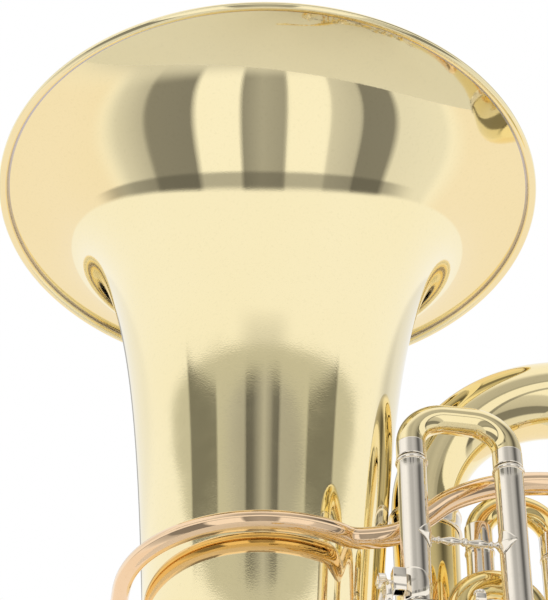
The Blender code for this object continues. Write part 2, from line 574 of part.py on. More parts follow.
# ---- paddles, links and rack ----
hx, hy = HINGE
lean = PRESS / 2
for number, z in enumerate(VALVE_Z, 1):
    level = z + STOP_ARM * math.cos(math.radians(45))
    pivot = Vector((hx - ARM * math.sin(lean), hy + ARM * math.cos(lean), level))
    paddle = rod("paddle_%d" % number, (hx, hy, level - 0.006), (hx, hy, level + 0.006), 0.0046, BRASS, SMALL)
    back_way = (Vector((pivot.x, pivot.y, 0)) - Vector((hx, hy, 0))).normalized()
    under = Vector((pivot.x, pivot.y, level - 0.003))
    arm_path = [Vector((hx, hy, level - 0.003)) + back_way * 0.002, under - back_way * 0.006,
                under + back_way * 0.003]
    back_arm = tube("arm", arm_path, [0.0024, 0.0020, 0.0020], None, BRASS, 6, (0, 0, 1))
    pin = rod("pin", pivot - Vector((0, 0, 0.0035)), pivot + Vector((0, 0, 0.0032)), 0.0011, BRASS, 6)
    touch = Vector((hx - 0.105, hy - 0.034, TOUCH_Z[number - 1]))
    mid = Vector((hx - 0.030, hy - 0.024, level + (touch.z - level) * 0.30))
    lever_path = [Vector((hx, hy, level)), mid, touch + Vector((0.030, -0.002, 0)),
                  touch + Vector((0.004, 0, 0))]
    lever = tube("lever", lever_path, [0.0030, 0.0028, 0.0024, 0.0022], None, BRASS, 6, (0, 0, 1))
    plate_profile = [(0.0004, -0.0010), (0.0095, -0.0010), (0.0102, 0.0), (0.0095, 0.0012), (0.0004, 0.0020)]
    plate = lathe("plate", plate_profile, BRASS, MIDDLE, touch + Vector((-0.004, 0, 0)), (0, -1, 0))
    longer = Matrix.Diagonal((1.45, 1.0, 1.0, 1.0))
    plate.data.transform(Matrix.Translation(touch) @ longer @ Matrix.Translation(-touch))
    hole = rod("hole", (hx, hy, level - 0.02), (hx, hy, level + 0.02), 0.0026, BRASS, SMALL)
    combine(paddle, [back_arm, pin, lever, plate], "UNION")
    combine(paddle, [hole], "DIFFERENCE")
    settle(paddle, (hx, hy, level))

    pin_x = VALVE_X - STOP_ARM * math.sin(math.radians(45))
    link = rod("link_%d" % number, (pivot.x + 0.0020, pivot.y, level + 0.0008),
               (pin_x - 0.0022, ROD_Y, level + 0.0008), 0.0012, STEEL, 6)
    eye = rod("eye", (pivot.x, pivot.y, level - 0.0004), (pivot.x, pivot.y, level + 0.0020),
              0.0032, STEEL, SMALL)
    fork = box("fork", (pin_x - 0.0034, ROD_Y - 0.0013, level - 0.0032),
               (pin_x + 0.0034, ROD_Y + 0.0013, level + 0.0061), STEEL)
    slot = box("slot", (pin_x - 0.0018, ROD_Y - 0.01, level - 0.0017),
               (pin_x + 0.0018, ROD_Y + 0.01, level + 0.0046), STEEL)
    hole = rod("hole", (pivot.x, pivot.y, level - 0.01), (pivot.x, pivot.y, level + 0.01),
               0.0014, STEEL, SMALL)
    combine(link, [eye, fork], "UNION")
    combine(link, [slot, hole], "DIFFERENCE")
    settle(link, pivot)

rack_low = VALVE_Z[3] - 0.030
rack_high = VALVE_Z[0] + 0.034
rack = rod("paddle_rack", (hx, hy, rack_low - 0.004), (hx, hy, rack_high + 0.004),
           0.0022, NICKEL, SMALL)
bars = []
for z in (rack_low, rack_high):
    bar_y = SLIDE_Y - SLEEVE_R - 0.0030
    bars.append(box("bar", (SLIDE_X[0] - 0.006, bar_y - 0.0015, z - 0.004),
                    (SLIDE_X[1] + 0.006, bar_y + 0.0015, z + 0.004), NICKEL))
    bars.append(box("post", (hx - 0.003, hy - 0.004, z - 0.0035), (hx + 0.003, bar_y, z + 0.0035), NICKEL))
combine(rack, bars, "UNION")

THUMB = Vector((hx - 0.060, hy - 0.004, 0.520))
bm = bmesh.new()
rings = []
for spot in arc(THUMB, 0.0135, 0, 360, 12, (0, 1, 0), (0, 0, 1))[:-1]:
    rings.append(ring(bm, spot, (spot - THUMB).normalized(), Vector((1, 0, 0)), 0.0022, 5))
skin(bm, rings, True)
thumb_ring = finish("thumb_ring", bm, NICKEL)
ring_foot = Vector((THUMB.x, THUMB.y + 0.0135, THUMB.z))
sleeve_axis = Vector((SLIDE_X[0], SLIDE_Y, THUMB.z))
ring_way = (ring_foot - sleeve_axis).normalized()
stem = rod("stem", sleeve_axis + ring_way * (SLEEVE_R + GAP), ring_foot, 0.0018, NICKEL, 6, (0, 0, 1))
combine(thumb_ring, [stem], "UNION")

# ---- braces between the bell and the second branch ----
for name, z in (("brace_low", 0.30), ("brace_high", 0.60)):
    bell_r = bell_radius(RIM_Z - z)
    share = (TOP_BOW_Z - z) / (TOP_BOW_Z - BOW_Z)
    branch_r = TOP_BOW_NARROW + (SECOND_LOW_R - TOP_BOW_NARROW) * share
    a = BELL_X + bell_r + 0.0004 + 0.0006
    b = SECOND_X - branch_r - 0.0004
    length = b - a
    if length > 0.012:
        profile = [(0.0004, 0.0), (0.0080, 0.0), (0.0080, 0.0012), (0.0034, 0.0022), (0.0028, length / 2),
                   (0.0034, length - 0.0022), (0.0070, length - 0.0012), (0.0070, length), (0.0004, length)]
        lathe(name, profile, NICKEL, SMALL, (a, 0, z), (1, 0, 0))
    else:
        rod(name, (a, 0, z), (b, 0, z), 0.0040, NICKEL, SMALL, (0, 0, 1))
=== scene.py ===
import bpy
import numpy as np
from math import cos, degrees, pi, radians, sin, tan
from mathutils import Matrix, Vector


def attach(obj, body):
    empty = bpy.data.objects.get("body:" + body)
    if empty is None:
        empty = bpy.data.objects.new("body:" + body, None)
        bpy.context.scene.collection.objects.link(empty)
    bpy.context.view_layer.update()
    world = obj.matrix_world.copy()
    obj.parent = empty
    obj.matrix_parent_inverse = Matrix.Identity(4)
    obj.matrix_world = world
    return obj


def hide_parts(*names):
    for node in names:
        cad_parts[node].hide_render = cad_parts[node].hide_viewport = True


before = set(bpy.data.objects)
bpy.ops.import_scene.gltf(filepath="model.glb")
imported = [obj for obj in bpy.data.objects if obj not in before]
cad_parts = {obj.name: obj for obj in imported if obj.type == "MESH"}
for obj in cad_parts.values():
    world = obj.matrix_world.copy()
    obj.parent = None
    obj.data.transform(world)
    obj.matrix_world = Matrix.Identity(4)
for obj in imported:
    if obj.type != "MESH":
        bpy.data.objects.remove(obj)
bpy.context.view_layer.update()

# ---- the part's driving dimensions, in metres ----
BELL_X = -0.1795
RIM_Z = 0.98
BELL_SCALE = 0.0618  # flare law: radius = scale * (depth + shift) ** -power
BELL_SHIFT = 0.0155
BELL_POWER = 0.2935
BELL_LAW_DEPTH = 0.52  # below this depth the bell narrows by a parabola instead
BELL_LOW_SLOPE = 0.0407
BELL_LOW_CURVE = 0.0981
RIM_R = 0.21
RIM_BEAD_R = 0.00315
BOW_Z = 0.2335  # height of the two ends of the bottom bow
BOW_R = 0.1795
BOW_BELL_R = 0.06  # tube radius where the bottom bow meets the bell
BOW_OUTER_R = 0.043  # tube radius where it meets the outer branch
TOP_BOW_Z = 0.69
TOP_BOW_R = 0.122
TOP_BOW_X = 0.0575
TOP_BOW_WIDE = 0.0355
TOP_BOW_NARROW = 0.0236
SECOND_X = TOP_BOW_X - TOP_BOW_R
SECOND_LOW_R = 0.0185
FEED_LOW_R = 0.0108
WALL = 0.0007
SLEEVE_WALL = 0.0008
GAP = 0.0003
SLIDE_X = (-0.101, -0.0366)  # the tuning slide's two legs
SLIDE_Y = -0.12
SLIDE_TOP_Z = 0.6975  # outside of the crook's crown
SLIDE_JOINT_Z = 0.6642  # where the crook meets its ferrules
SLIDE_LEG_Z = 0.547  # lower ends of the slide's inner legs
SLEEVE_R = 0.0095
SLEEVE_TOP_Z = 0.652
SLEEVE_LOW_Z = 0.47
CROOK_R = 0.0097
CROOK_CORNER = 0.023
BRACE_Z = 0.592
LYRE_Z = 0.5525
PIPE_Z = 0.612  # height of the leadpipe where it rounds the bell
PIPE_ROUND = 0.0955  # its centreline radius there
PIPE_R = 0.0058  # its radius at the receiver
VALVE_X = 0.06
VALVE_Y = -0.06
VALVE_Z = (0.5, 0.443, 0.386, 0.329)
VALVE_HALF = 0.025  # half the casing's length
ROTOR_R = 0.0178
PORT = 0.0155  # each port's offset from the valve's middle
TUBE_R = 0.0093
SLIDE_LEG = 0.075  # how far a slide's inner legs run into their sleeves
STUB = 0.03  # how far a port's stub reaches from the valve's middle
STUB_X = VALVE_X + STUB + GAP  # where a tube meets the stubs' right ends
LEFT_X = VALVE_X - STUB - GAP  # and their left ends
ROD_Y = -0.1048  # the plane of the links
HINGE_X, HINGE_Y = -0.068, -0.145
ARM = 0.0402
PRESS = radians(20.25)
STOP_ARM = 0.01
STOP_RISE = STOP_ARM * cos(radians(45))
STOP_X = VALVE_X - STOP_ARM * sin(radians(45))
TOUCH_Z = (0.471, 0.445, 0.419, 0.393)
FRONT_Y = -0.089  # the plane of the second valve's slide
INNER_R = SLEEVE_R - SLEEVE_WALL - GAP
LEG_R = TUBE_R - SLEEVE_WALL - GAP
SHARP_EDGE = radians(38)

UP = (0, 0, 1)
DOWN = (0, 0, -1)
LEFT = (-1, 0, 0)
RIGHT = (1, 0, 0)
FRONT = (0, -1, 0)
BACK = (0, 1, 0)


# ---- materials ----
class Nodes:
    """Short calls for building a node tree."""

    def __init__(self, tree):
        self.tree = tree

    def new(self, kind, values=(), **settings):
        node = self.tree.nodes.new("ShaderNode" + kind)
        for key, value in settings.items():
            setattr(node, key, value)
        for socket, value in dict(values).items():
            if isinstance(value, bpy.types.NodeSocket):
                self.tree.links.new(value, node.inputs[socket])
            else:
                node.inputs[socket].default_value = value
        return node

    def noise(self, vector, scale, detail=3.0, rough=0.5):
        values = {"Vector": vector, "Scale": scale, "Detail": detail, "Roughness": rough}
        return self.new("TexNoise", values).outputs["Fac"]

    def remap(self, value, low, high, to_low, to_high):
        values = {"Value": value, "From Min": low, "From Max": high, "To Min": to_low, "To Max": to_high}
        return self.new("MapRange", values).outputs["Result"]

    def blend(self, share, a, b):
        made = self.new("Mix", {0: share, 6: a, 7: b}, data_type="RGBA")
        return made.outputs[2]


def metal(name, bright, deep, rough=(0.025, 0.06), wave=0.00006, coat=0.35):
    """Polished metal under lacquer: a slow drift of tone, faint marks and a slightly uneven surface."""
    mat = bpy.data.materials.new(name)
    mat.use_nodes = True
    tree = mat.node_tree
    kit, link = Nodes(tree), tree.links.new
    shader = tree.nodes["Principled BSDF"]
    settings = {"Metallic": 1.0, "Coat Weight": coat, "Coat Roughness": 0.03, "Coat IOR": 1.45}
    for socket, value in settings.items():
        shader.inputs[socket].default_value = value
    where = kit.new("TexCoord").outputs["Object"]
    drift = kit.noise(where, 9.0, 2.0)
    tone = kit.blend(kit.remap(drift, 0.35, 0.65, 0.0, 1.0), (*bright, 1), (*deep, 1))
    fleck = kit.noise(where, 420.0, 2.0, 0.6)
    tone = kit.blend(kit.remap(fleck, 0.55, 0.85, 0.0, 0.35), tone, (*[c * 0.86 for c in deep], 1))
    link(tone, shader.inputs["Base Color"])
    wiped = kit.noise(where, 65.0, 5.0, 0.6)
    link(kit.remap(wiped, 0.3, 0.75, *rough), shader.inputs["Roughness"])
    swell = kit.noise(where, 16.0, 1.0, 0.4)
    grain = kit.noise(where, 900.0, 2.0, 0.5)
    first = kit.new("Bump", {"Height": swell, "Strength": 1.0, "Distance": wave})
    second = kit.new("Bump", {"Height": grain, "Strength": 1.0, "Distance": 0.000004,
                                        "Normal": first.outputs[0]})
    link(second.outputs[0], shader.inputs["Normal"])
    return mat


BRASS = metal("lacquered_yellow_brass", (0.96, 0.775, 0.355), (0.942, 0.745, 0.32))
BELL_BRASS = metal("bell_brass", (0.965, 0.85, 0.53), (0.958, 0.838, 0.508),
                   (0.02, 0.05), 0.00008)
BRANCH_BRASS = metal("branch_brass", (0.963, 0.825, 0.475), (0.952, 0.8, 0.44))
GOLD = metal("lacquered_gold_brass", (0.955, 0.715, 0.48), (0.935, 0.68, 0.435))
NICKEL = metal("nickel_silver_polished", (0.94, 0.87, 0.755), (0.92, 0.848, 0.73),
               (0.035, 0.08), coat=0.2)
SEAM = metal("solder_seam", (0.64, 0.6, 0.62), (0.56, 0.525, 0.54),
             (0.16, 0.3), coat=0.2)
STEEL = metal("steel_rod", (0.6, 0.6, 0.61), (0.56, 0.56, 0.575), (0.12, 0.22), coat=0.0)
SILVER = metal("silver_plating", (0.93, 0.915, 0.88), (0.905, 0.885, 0.845),
               (0.04, 0.1), coat=0.1)


# ---- shapes: each helper returns its points and a list of face arrays ----
def vec(values):
    return np.asarray(values, float)


def unit(vector):
    vector = vec(vector)
    return vector / np.linalg.norm(vector)


def carried(path, ref, ends=None):
    """A normal and a binormal at each point, carried along the path without twist."""
    points = vec([tuple(p) for p in path])
    steps = np.diff(points, axis=0)
    steps /= np.linalg.norm(steps, axis=1)[:, None]
    tangents = np.vstack([steps[:1], steps[:-1] + steps[1:], steps[-1:]])
    tangents /= np.linalg.norm(tangents, axis=1)[:, None]
    if ends:
        tangents[0] = unit(ends[0])
        tangents[-1] = unit(ends[1])
    normal = vec(ref)
    normals = []
    for tangent in tangents:
        normal = unit(normal - tangent * (normal @ tangent))
        normals.append(normal)
    normals = np.array(normals)
    return points, normals, np.cross(tangents, normals)


def grid_faces(rows, count, wrap_rows, wrap_count):
    last_row = rows if wrap_rows else rows - 1
    last = count if wrap_count else count - 1
    i, k = np.meshgrid(np.arange(last_row), np.arange(last), indexing="ij")
    n, m = (i + 1) % rows, (k + 1) % count
    return np.stack([i * count + k, i * count + m, n * count + m, n * count + k], -1).reshape(-1, 4)


def end_caps(rows, count):
    """One flat face over the first ring and one over the last."""
    return [np.arange(count)[::-1][None], (rows - 1) * count + np.arange(count)[None]]


def end_fans(points, rows, count):
    """Triangles from the last two points to the first ring and to the last."""
    k = np.arange(count)
    end = (rows - 1) * count
    return [np.stack([np.full(count, points - 2), (k + 1) % count, k], -1),
            np.stack([np.full(count, points - 1), end + k, end + (k + 1) % count], -1)]


def sweep(path, outer, inner=None, count=40, ref=(0, 1, 0), ends=None, section=None):
    """A pipe, or a rod where inner is None. section replaces the circle by (a, b) pairs of unit size."""
    points, normals, binormals = carried(path, ref, ends)
    turn = 2 * np.pi * np.arange(count) / count
    loop = np.stack([np.cos(turn), np.sin(turn)], -1) if section is None else vec(section)
    count = len(loop)

    def rings(radii):
        radii = np.broadcast_to(vec(radii), (len(points),))
        spread = loop[None, :, 0, None] * normals[:, None] + loop[None, :, 1, None] * binormals[:, None]
        return points[:, None] + radii[:, None, None] * spread

    shell = rings(outer)
    if inner is None:
        faces = [grid_faces(len(points), count, False, True)] + end_caps(len(points), count)
        return shell.reshape(-1, 3), faces
    both = np.concatenate([shell, rings(inner)[::-1]])
    return both.reshape(-1, 3), [grid_faces(len(both), count, True, True)]


def turned(profile, base=(0, 0, 0), axis=UP, count=48, flutes=0, depth=0.0, fluted=()):
    """Turns (radius, height) pairs about an axis. From axis to axis it is solid, otherwise a closed loop."""
    rows = [tuple(p) for p in profile]
    solid = rows[0][0] < 1e-7 and rows[-1][0] < 1e-7
    turn = np.array(Vector(UP).rotation_difference(Vector(axis)).to_matrix())
    angle = 2 * np.pi * np.arange(count) / count
    body = rows[1:-1] if solid else rows
    points = []
    for radius, height in body:
        size = np.full(count, radius)
        if flutes and fluted[0] <= height <= fluted[1]:
            size = radius - depth * (0.5 + 0.5 * np.cos(flutes * angle))
        points.append(np.stack([size * np.sin(angle), size * np.cos(angle), np.full(count, height)], -1))
    at = np.concatenate(points)
    faces = [grid_faces(len(body), count, not solid, True)]
    if solid:
        at = np.vstack([at, [[0, 0, rows[0][1]], [0, 0, rows[-1][1]]]])
        faces += end_fans(len(at), len(body), count)
    return at @ turn.T + vec(base), faces


def soften(rows, size, steps=4, closed=False):
    """Rounds each corner of a 2-D outline, by up to the size given."""
    rows = [vec(p) for p in rows]
    found = []
    for i, here in enumerate(rows):
        if not closed and i in (0, len(rows) - 1):
            found.append(here)
            continue
        a, b = (here + unit(there - here) * min(size, 0.45 * np.linalg.norm(there - here))
                for there in (rows[i - 1], rows[(i + 1) % len(rows)]))
        for t in np.linspace(0, 1, steps + 1):
            found.append((1 - t) ** 2 * a + 2 * t * (1 - t) * here + t * t * b)
    return found


def lathe(profile, base, axis, count, size=0.0003, steps=3, closed=False, **teeth):
    """A turned shape whose corners are rounded first."""
    return turned(soften(profile, size, steps, closed), base, axis, count, **teeth)


def arc(centre, radius, start, end, steps, u=(1, 0, 0), v=(0, 0, 1)):
    turn = np.radians(np.linspace(start, end, steps + 1))[:, None]
    return vec(centre) + radius * (np.cos(turn) * np.asarray(u) + np.sin(turn) * np.asarray(v))


def filleted(corners, radii, steps=14):
    """A path through corners, each rounded by an arc of the radius given."""
    points = [Vector(c) for c in corners]
    found = [points[0]]
    for i in range(1, len(points) - 1):
        here = points[i]
        back = (points[i - 1] - here).normalized()
        ahead = (points[i + 1] - here).normalized()
        half = back.angle(ahead) / 2
        radius = radii[i - 1]
        centre = here + (back + ahead).normalized() * (radius / sin(half))
        a, b = (here + side * (radius / tan(half)) - centre for side in (back, ahead))
        sweep_angle = a.angle(b)
        for k in range(steps + 1):
            t = k / steps
            way = a * sin((1 - t) * sweep_angle) + b * sin(t * sweep_angle)
            found.append(centre + way / sin(sweep_angle))
    return [tuple(p) for p in found + [points[-1]]]


def flowing(points, spacing):
    """A smooth curve through the points, as points at an even spacing."""
    p = vec([tuple(q) for q in points])
    p = np.vstack([2 * p[0] - p[1], p, 2 * p[-1] - p[-2]])
    found = []
    for a, b, c, d in zip(p, p[1:], p[2:], p[3:]):
        knots = np.cumsum([0.0] + [np.linalg.norm(y - x) ** 0.5 for x, y in ((a, b), (b, c), (c, d))])
        count = max(2, int(np.linalg.norm(c - b) / spacing * 4))
        for t in np.linspace(knots[1], knots[2], count, endpoint=False):
            one = [((knots[i + 1] - t) * q + (t - knots[i]) * r) / (knots[i + 1] - knots[i])
                   for i, (q, r) in enumerate(((a, b), (b, c), (c, d)))]
            two = [((knots[i + 2] - t) * one[i] + (t - knots[i]) * one[i + 1]) / (knots[i + 2] - knots[i])
                   for i in range(2)]
            found.append(((knots[2] - t) * two[0] + (t - knots[1]) * two[1]) / (knots[2] - knots[1]))
    found.append(p[-2])
    found = np.array(found)
    length = np.concatenate([[0], np.cumsum(np.linalg.norm(np.diff(found, axis=0), axis=1))])
    even = np.linspace(0, length[-1], max(2, int(length[-1] / spacing)) + 1)
    return np.stack([np.interp(even, length, found[:, i]) for i in range(3)], -1)


def along(path, first, last):
    path = vec([tuple(p) for p in path])
    length = np.concatenate([[0], np.cumsum(np.linalg.norm(np.diff(path, axis=0), axis=1))])
    return first + (last - first) * length / length[-1]


def round_corners(half_x, half_y, size):
    """A rectangle's outline with an arc at each corner."""
    found = []
    for a, b, start in ((1, 1, 0), (-1, 1, 90), (-1, -1, 180), (1, -1, 270)):
        for k in range(5):
            t = radians(start + 22.5 * k)
            found.append((a * (half_x - size) + size * cos(t), b * (half_y - size) + size * sin(t)))
    return np.array(found)


def block(low, high, bevel=0.0006, turn=None, about=(0, 0, 0)):
    """A box whose edges are rounded by a few steps."""
    low, high = vec(low), vec(high)
    middle, half = (low + high) / 2, (high - low) / 2
    bevel = min(bevel, 0.9 * half.min())
    section = round_corners(half[0], half[1], bevel)
    rings = []
    for k in range(5):
        t = radians(22.5 * k)
        shrink = bevel * (1 - sin(t)) * np.sign(section)
        rings.append((section - shrink, -half[2] + bevel * (1 - cos(t))))
    rings += [(s, -z) for s, z in rings[::-1]]
    at = np.concatenate([np.column_stack([s, np.full(len(s), z)]) for s, z in rings]) + middle
    if turn is not None:
        at = (at - about) @ np.array(turn).T + about
    return at, [grid_faces(len(rings), len(section), False, True)] + end_caps(len(rings), len(section))


def saddle_plate(axis_point, axis, radius, facing, half_width, half_height, thick, power=1.25, swell=0.0):
    """A thin shaped plate that lies on a tube. power 1 is a diamond, 2 an oval and more a rounded box."""
    axis = unit(axis)
    facing = unit(vec(facing) - axis * (vec(facing) @ axis))
    side = np.cross(axis, facing)
    under = 0.0002
    count, across = 64, 10
    turn = 2 * np.pi * np.arange(count) / count
    c, s = np.cos(turn), np.sin(turn)
    edge = (np.abs(c) ** power + np.abs(s) ** power) ** (-1 / power)
    shares = 1 - (1 - np.linspace(0, 1, across)[1:]) ** 1.5
    layers = [(share, under) for share in shares]
    layers += [(share, thick * (1 - share ** 8 * 0.45) + swell * (1 - share) ** 2) for share in shares[::-1]]
    rows = []
    for share, lift in layers:
        angle = half_width * share * edge * c / radius
        at = vec(axis_point) + (half_height * share * edge * s)[:, None] * axis
        rows.append(at + (radius + lift) * (np.cos(angle)[:, None] * facing + np.sin(angle)[:, None] * side))
    middles = [vec(axis_point) + (radius + lift) * facing for lift in (under, thick + swell)]
    at = np.vstack(rows + middles)
    return at, [grid_faces(len(rows), count, False, True)] + end_fans(len(at), len(rows), count)


def torus(centre, axis, major, minor, count=64, around=14):
    rows = [(major + minor * cos(2 * pi * k / around), minor * sin(2 * pi * k / around))
            for k in range(around)]
    return turned(rows, centre, axis, count)


def facing_out(points, faces):
    """The faces, turned round if they enclose a negative volume."""
    total = 0.0
    for f in faces:
        for k in range(1, f.shape[1] - 1):
            a, b, c = points[f[:, 0]], points[f[:, k]], points[f[:, k + 1]]
            total += float(np.einsum("ij,ij->i", a, np.cross(b, c)).sum())
    return [f[:, ::-1] for f in faces] if total < 0 else faces


def add(name, data):
    made = bpy.data.objects.new(name, data)
    bpy.context.scene.collection.objects.link(made)
    return made


def piece(name, shapes, mat, node=None, body="horn"):
    """One named object made of closed shells, riding on a body and standing for a CAD node."""
    points, corners, at = [], [], 0
    for shell, faces in shapes:
        middle = shell.mean(axis=0)
        for group in facing_out(shell - middle, faces):
            corners += (group + at).tolist()
        points.append(shell)
        at += len(shell)
    mesh = bpy.data.meshes.new(name)
    mesh.from_pydata(np.concatenate(points).tolist(), [], corners)
    mesh.update()
    mesh.materials.append(mat)
    mesh.shade_smooth()
    mesh.set_sharp_from_angle(angle=SHARP_EDGE)
    made = add(name, mesh)
    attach(made, body)
    if node:
        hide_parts(node)


# ---- bell ----
def bell_radius(depth):
    """The flare's power law, then a parabola below the throat."""
    near = BELL_SCALE * (np.minimum(depth, BELL_LAW_DEPTH) + BELL_SHIFT) ** -BELL_POWER
    more = np.maximum(depth - BELL_LAW_DEPTH, 0.0)
    return near - BELL_LOW_SLOPE * more - BELL_LOW_CURVE * more ** 2


def bell_wall(depths, lift):
    """The bell's outside, moved out along its normal by lift."""
    slope = (bell_radius(depths + 1e-6) - bell_radius(depths - 1e-6)) / 2e-6
    size = np.hypot(1.0, slope)
    return np.column_stack([bell_radius(depths) + lift / size, RIM_Z - depths + lift * slope / size])


def bell_ring(name, profile, mat, node=None):
    piece(name, [turned(profile, (BELL_X, 0, 0), UP, 256)], mat, node)


fine_from, edge = 0.4, 0.0012
depths = np.concatenate([np.linspace(RIM_Z - BOW_Z - GAP, fine_from, 40)[:-1],
                         edge + (fine_from - edge) * np.linspace(1, 0, 110) ** 2.2])
bell_ring("bell_body", np.vstack([bell_wall(depths, 0), bell_wall(depths, -WALL)[::-1]]), BELL_BRASS, "bell")
bead = [(RIM_R + RIM_BEAD_R * (cos(t) - 1), RIM_Z + RIM_BEAD_R * (sin(t) - 1))
        for t in np.linspace(0, 2 * pi, 25)[:-1]]
bell_ring("bell_rim_bead", bead, BELL_BRASS)
band = np.linspace(0.00165, 0.00225, 5)
bell_ring("bell_rim_seam", np.vstack([bell_wall(band, 0.00032), bell_wall(band, -0.0001)[::-1]]), SEAM)


# ---- large bows and branches ----
def bow(name, path, wide, narrow, count, mat, node, ref=BACK, ends=None):
    """A pipe whose radius changes evenly from wide to narrow."""
    size = np.linspace(wide, narrow, len(path))
    piece(name, [sweep(path, size, size - WALL, count, ref, ends)], mat, node)


bow("bottom_bow_tube", arc((0, 0, BOW_Z), BOW_R, 180, 360, 120), BOW_BELL_R, BOW_OUTER_R, 80, BRANCH_BRASS,
    "bottom_bow", ends=(DOWN, UP))
bow("outer_branch_tube", [(BOW_R, 0, BOW_Z + GAP), (BOW_R, 0, TOP_BOW_Z - GAP)], BOW_OUTER_R, TOP_BOW_WIDE,
    72, BRANCH_BRASS, "outer_branch")
bow("top_bow_tube", arc((TOP_BOW_X, 0, TOP_BOW_Z), TOP_BOW_R, 0, 180, 120), TOP_BOW_WIDE, TOP_BOW_NARROW, 72,
    BRANCH_BRASS, "top_bow", ends=(UP, DOWN))
bow("second_branch_tube", [(SECOND_X, 0, TOP_BOW_Z - GAP), (SECOND_X, 0, BOW_Z + GAP)], TOP_BOW_NARROW,
    SECOND_LOW_R, 64, BRASS, "second_branch")
across = Vector((SLIDE_X[0] - SECOND_X, SLIDE_Y, 0))
middle = Vector((SECOND_X, 0, BOW_Z)) + across / 2
bow("inner_bottom_bow_tube", arc(middle, across.length / 2, 180, 360, 90, across.normalized(), UP),
    SECOND_LOW_R, FEED_LOW_R, 56, BRASS, "inner_bottom_bow", tuple(across.cross(Vector(UP))), (DOWN, UP))
path = [(SLIDE_X[0], SLIDE_Y, BOW_Z + GAP), (SLIDE_X[0], SLIDE_Y, SLEEVE_LOW_Z - GAP)]
piece("feed_branch_tube", [sweep(path, [FEED_LOW_R, SLEEVE_R], [0.0099, SLEEVE_R - WALL], 48)], BRASS,
      "feed_branch")


# ---- ferrules ----
def ferrule(x, y, low_z, high_z, low_r, high_r, thick, bead_r, count):
    """A ferrule on an upright tube, with a bead at each end. The radii are the bore's."""
    length = high_z - low_z
    turns = np.linspace(0.2, pi - 0.2, 9)
    rows = [(low_r, 0), (low_r + thick * 0.5, 0)]
    rows += [(low_r + thick + bead_r * sin(t), bead_r * (1 - cos(t)) + 0.0001) for t in turns]
    rows += [(low_r + (high_r - low_r) * s + thick * (1 - 0.25 * sin(pi * s)), length * s)
             for s in np.linspace(0.16, 0.84, 7)]
    rows += [(high_r + thick + bead_r * sin(t), length - bead_r * (1 + cos(t)) - 0.0001) for t in turns]
    rows += [(high_r + thick * 0.5, length), (high_r, length)]
    return turned(rows, (x, y, low_z), UP, count)


def branch_r(z, low_r, top_r):
    return low_r + (top_r - low_r) * (z - BOW_Z) / (TOP_BOW_Z - BOW_Z)


def second_r(z):
    return branch_r(z, SECOND_LOW_R, TOP_BOW_NARROW)


wide_r, narrow_r = (branch_r(z, BOW_OUTER_R, TOP_BOW_WIDE) for z in (BOW_Z + 0.0205, TOP_BOW_Z - 0.0185))
for name, x, low, high, low_r, high_r, thick, bead_r, count in (
        ("bell_ferrule", BELL_X, BOW_Z - 0.0015, BOW_Z + 0.0225,
         BOW_BELL_R + 0.0009, BOW_BELL_R + 0.0023, 0.0012, 0.0009, 96),
        ("outer_ferrule_low", BOW_R, BOW_Z - 0.0015, BOW_Z + 0.0205,
         BOW_OUTER_R + 0.0006, wide_r + 0.0006, 0.0012, 0.0009, 80),
        ("outer_ferrule_top", BOW_R, TOP_BOW_Z - 0.0185, TOP_BOW_Z + 0.0015,
         narrow_r + 0.0004, TOP_BOW_WIDE + 0.0005, 0.0012, 0.0009, 80),
        ("inner_ferrule_top", SECOND_X, TOP_BOW_Z - 0.0145, TOP_BOW_Z + 0.0015,
         second_r(TOP_BOW_Z - 0.0145) + 0.0004, TOP_BOW_NARROW + 0.0005, 0.0011, 0.0008, 64)):
    piece(name + "_ring", [ferrule(x, 0, low, high, low_r, high_r, thick, bead_r, count)], NICKEL, name)
ring = ferrule(SECOND_X, 0, BOW_Z - 0.0012, BOW_Z + 0.013, SECOND_LOW_R + 0.0003,
               second_r(BOW_Z + 0.013) + 0.0004, 0.001, 0.0007, 56)
piece("inner_ferrule_low_ring", [ring], NICKEL)
ring = ferrule(SLIDE_X[0], SLIDE_Y, BOW_Z - 0.001, BOW_Z + 0.012, 0.011, 0.011, 0.0009, 0.0006, 48)
piece("feed_ferrule_ring", [ring], NICKEL)


# ---- guard under the bottom bow ----
def guard():
    """A leaf-ended plate with a raised border, laid on the underside of the bow."""
    rows, cols = 150, 64
    half_length, half_swing = 44.8, radians(66)
    border, border_wide, border_rise = 0.945, 0.03, 0.0006
    top_lift, under_lift = 0.00165, 0.00065
    place = np.sin(np.linspace(-0.9995, 0.9995, rows) * np.pi / 2)
    grid = np.zeros((2, rows, cols, 3))
    q = np.linspace(-1, 1, cols)
    for i, s in enumerate(place):
        turn = radians(270 + half_length * s)
        outward = np.array([cos(turn), 0, sin(turn)])
        radius = BOW_BELL_R + (BOW_OUTER_R - BOW_BELL_R) * (degrees(turn) - 180) / 180
        centre = np.array([0, 0, BOW_Z]) + BOW_R * outward
        swing = half_swing * max(1 - abs(s) ** 3.2, 1e-4) ** 0.62 * q
        edge = np.maximum(np.abs(q), abs(s) ** 6)
        rise = top_lift + border_rise * np.exp(-((edge - border) / border_wide) ** 2)
        way = np.cos(swing)[:, None] * outward + np.sin(swing)[:, None] * np.array([0, 1.0, 0])
        grid[0, i] = centre + (radius + rise)[:, None] * way
        grid[1, i] = centre + (radius + under_lift) * way
    n = rows * cols
    f = grid_faces(rows, cols, False, False)
    rim = np.concatenate([np.arange(cols), np.arange(1, rows) * cols + cols - 1,
                          (rows - 1) * cols + np.arange(cols - 2, -1, -1), np.arange(rows - 2, 0, -1) * cols])
    after = np.roll(rim, -1)
    return grid.reshape(-1, 3), [f[:, ::-1], f + n, np.stack([rim, after, after + n, rim + n], -1)]


piece("bow_guard_plate", [guard()], NICKEL, "bow_guard")

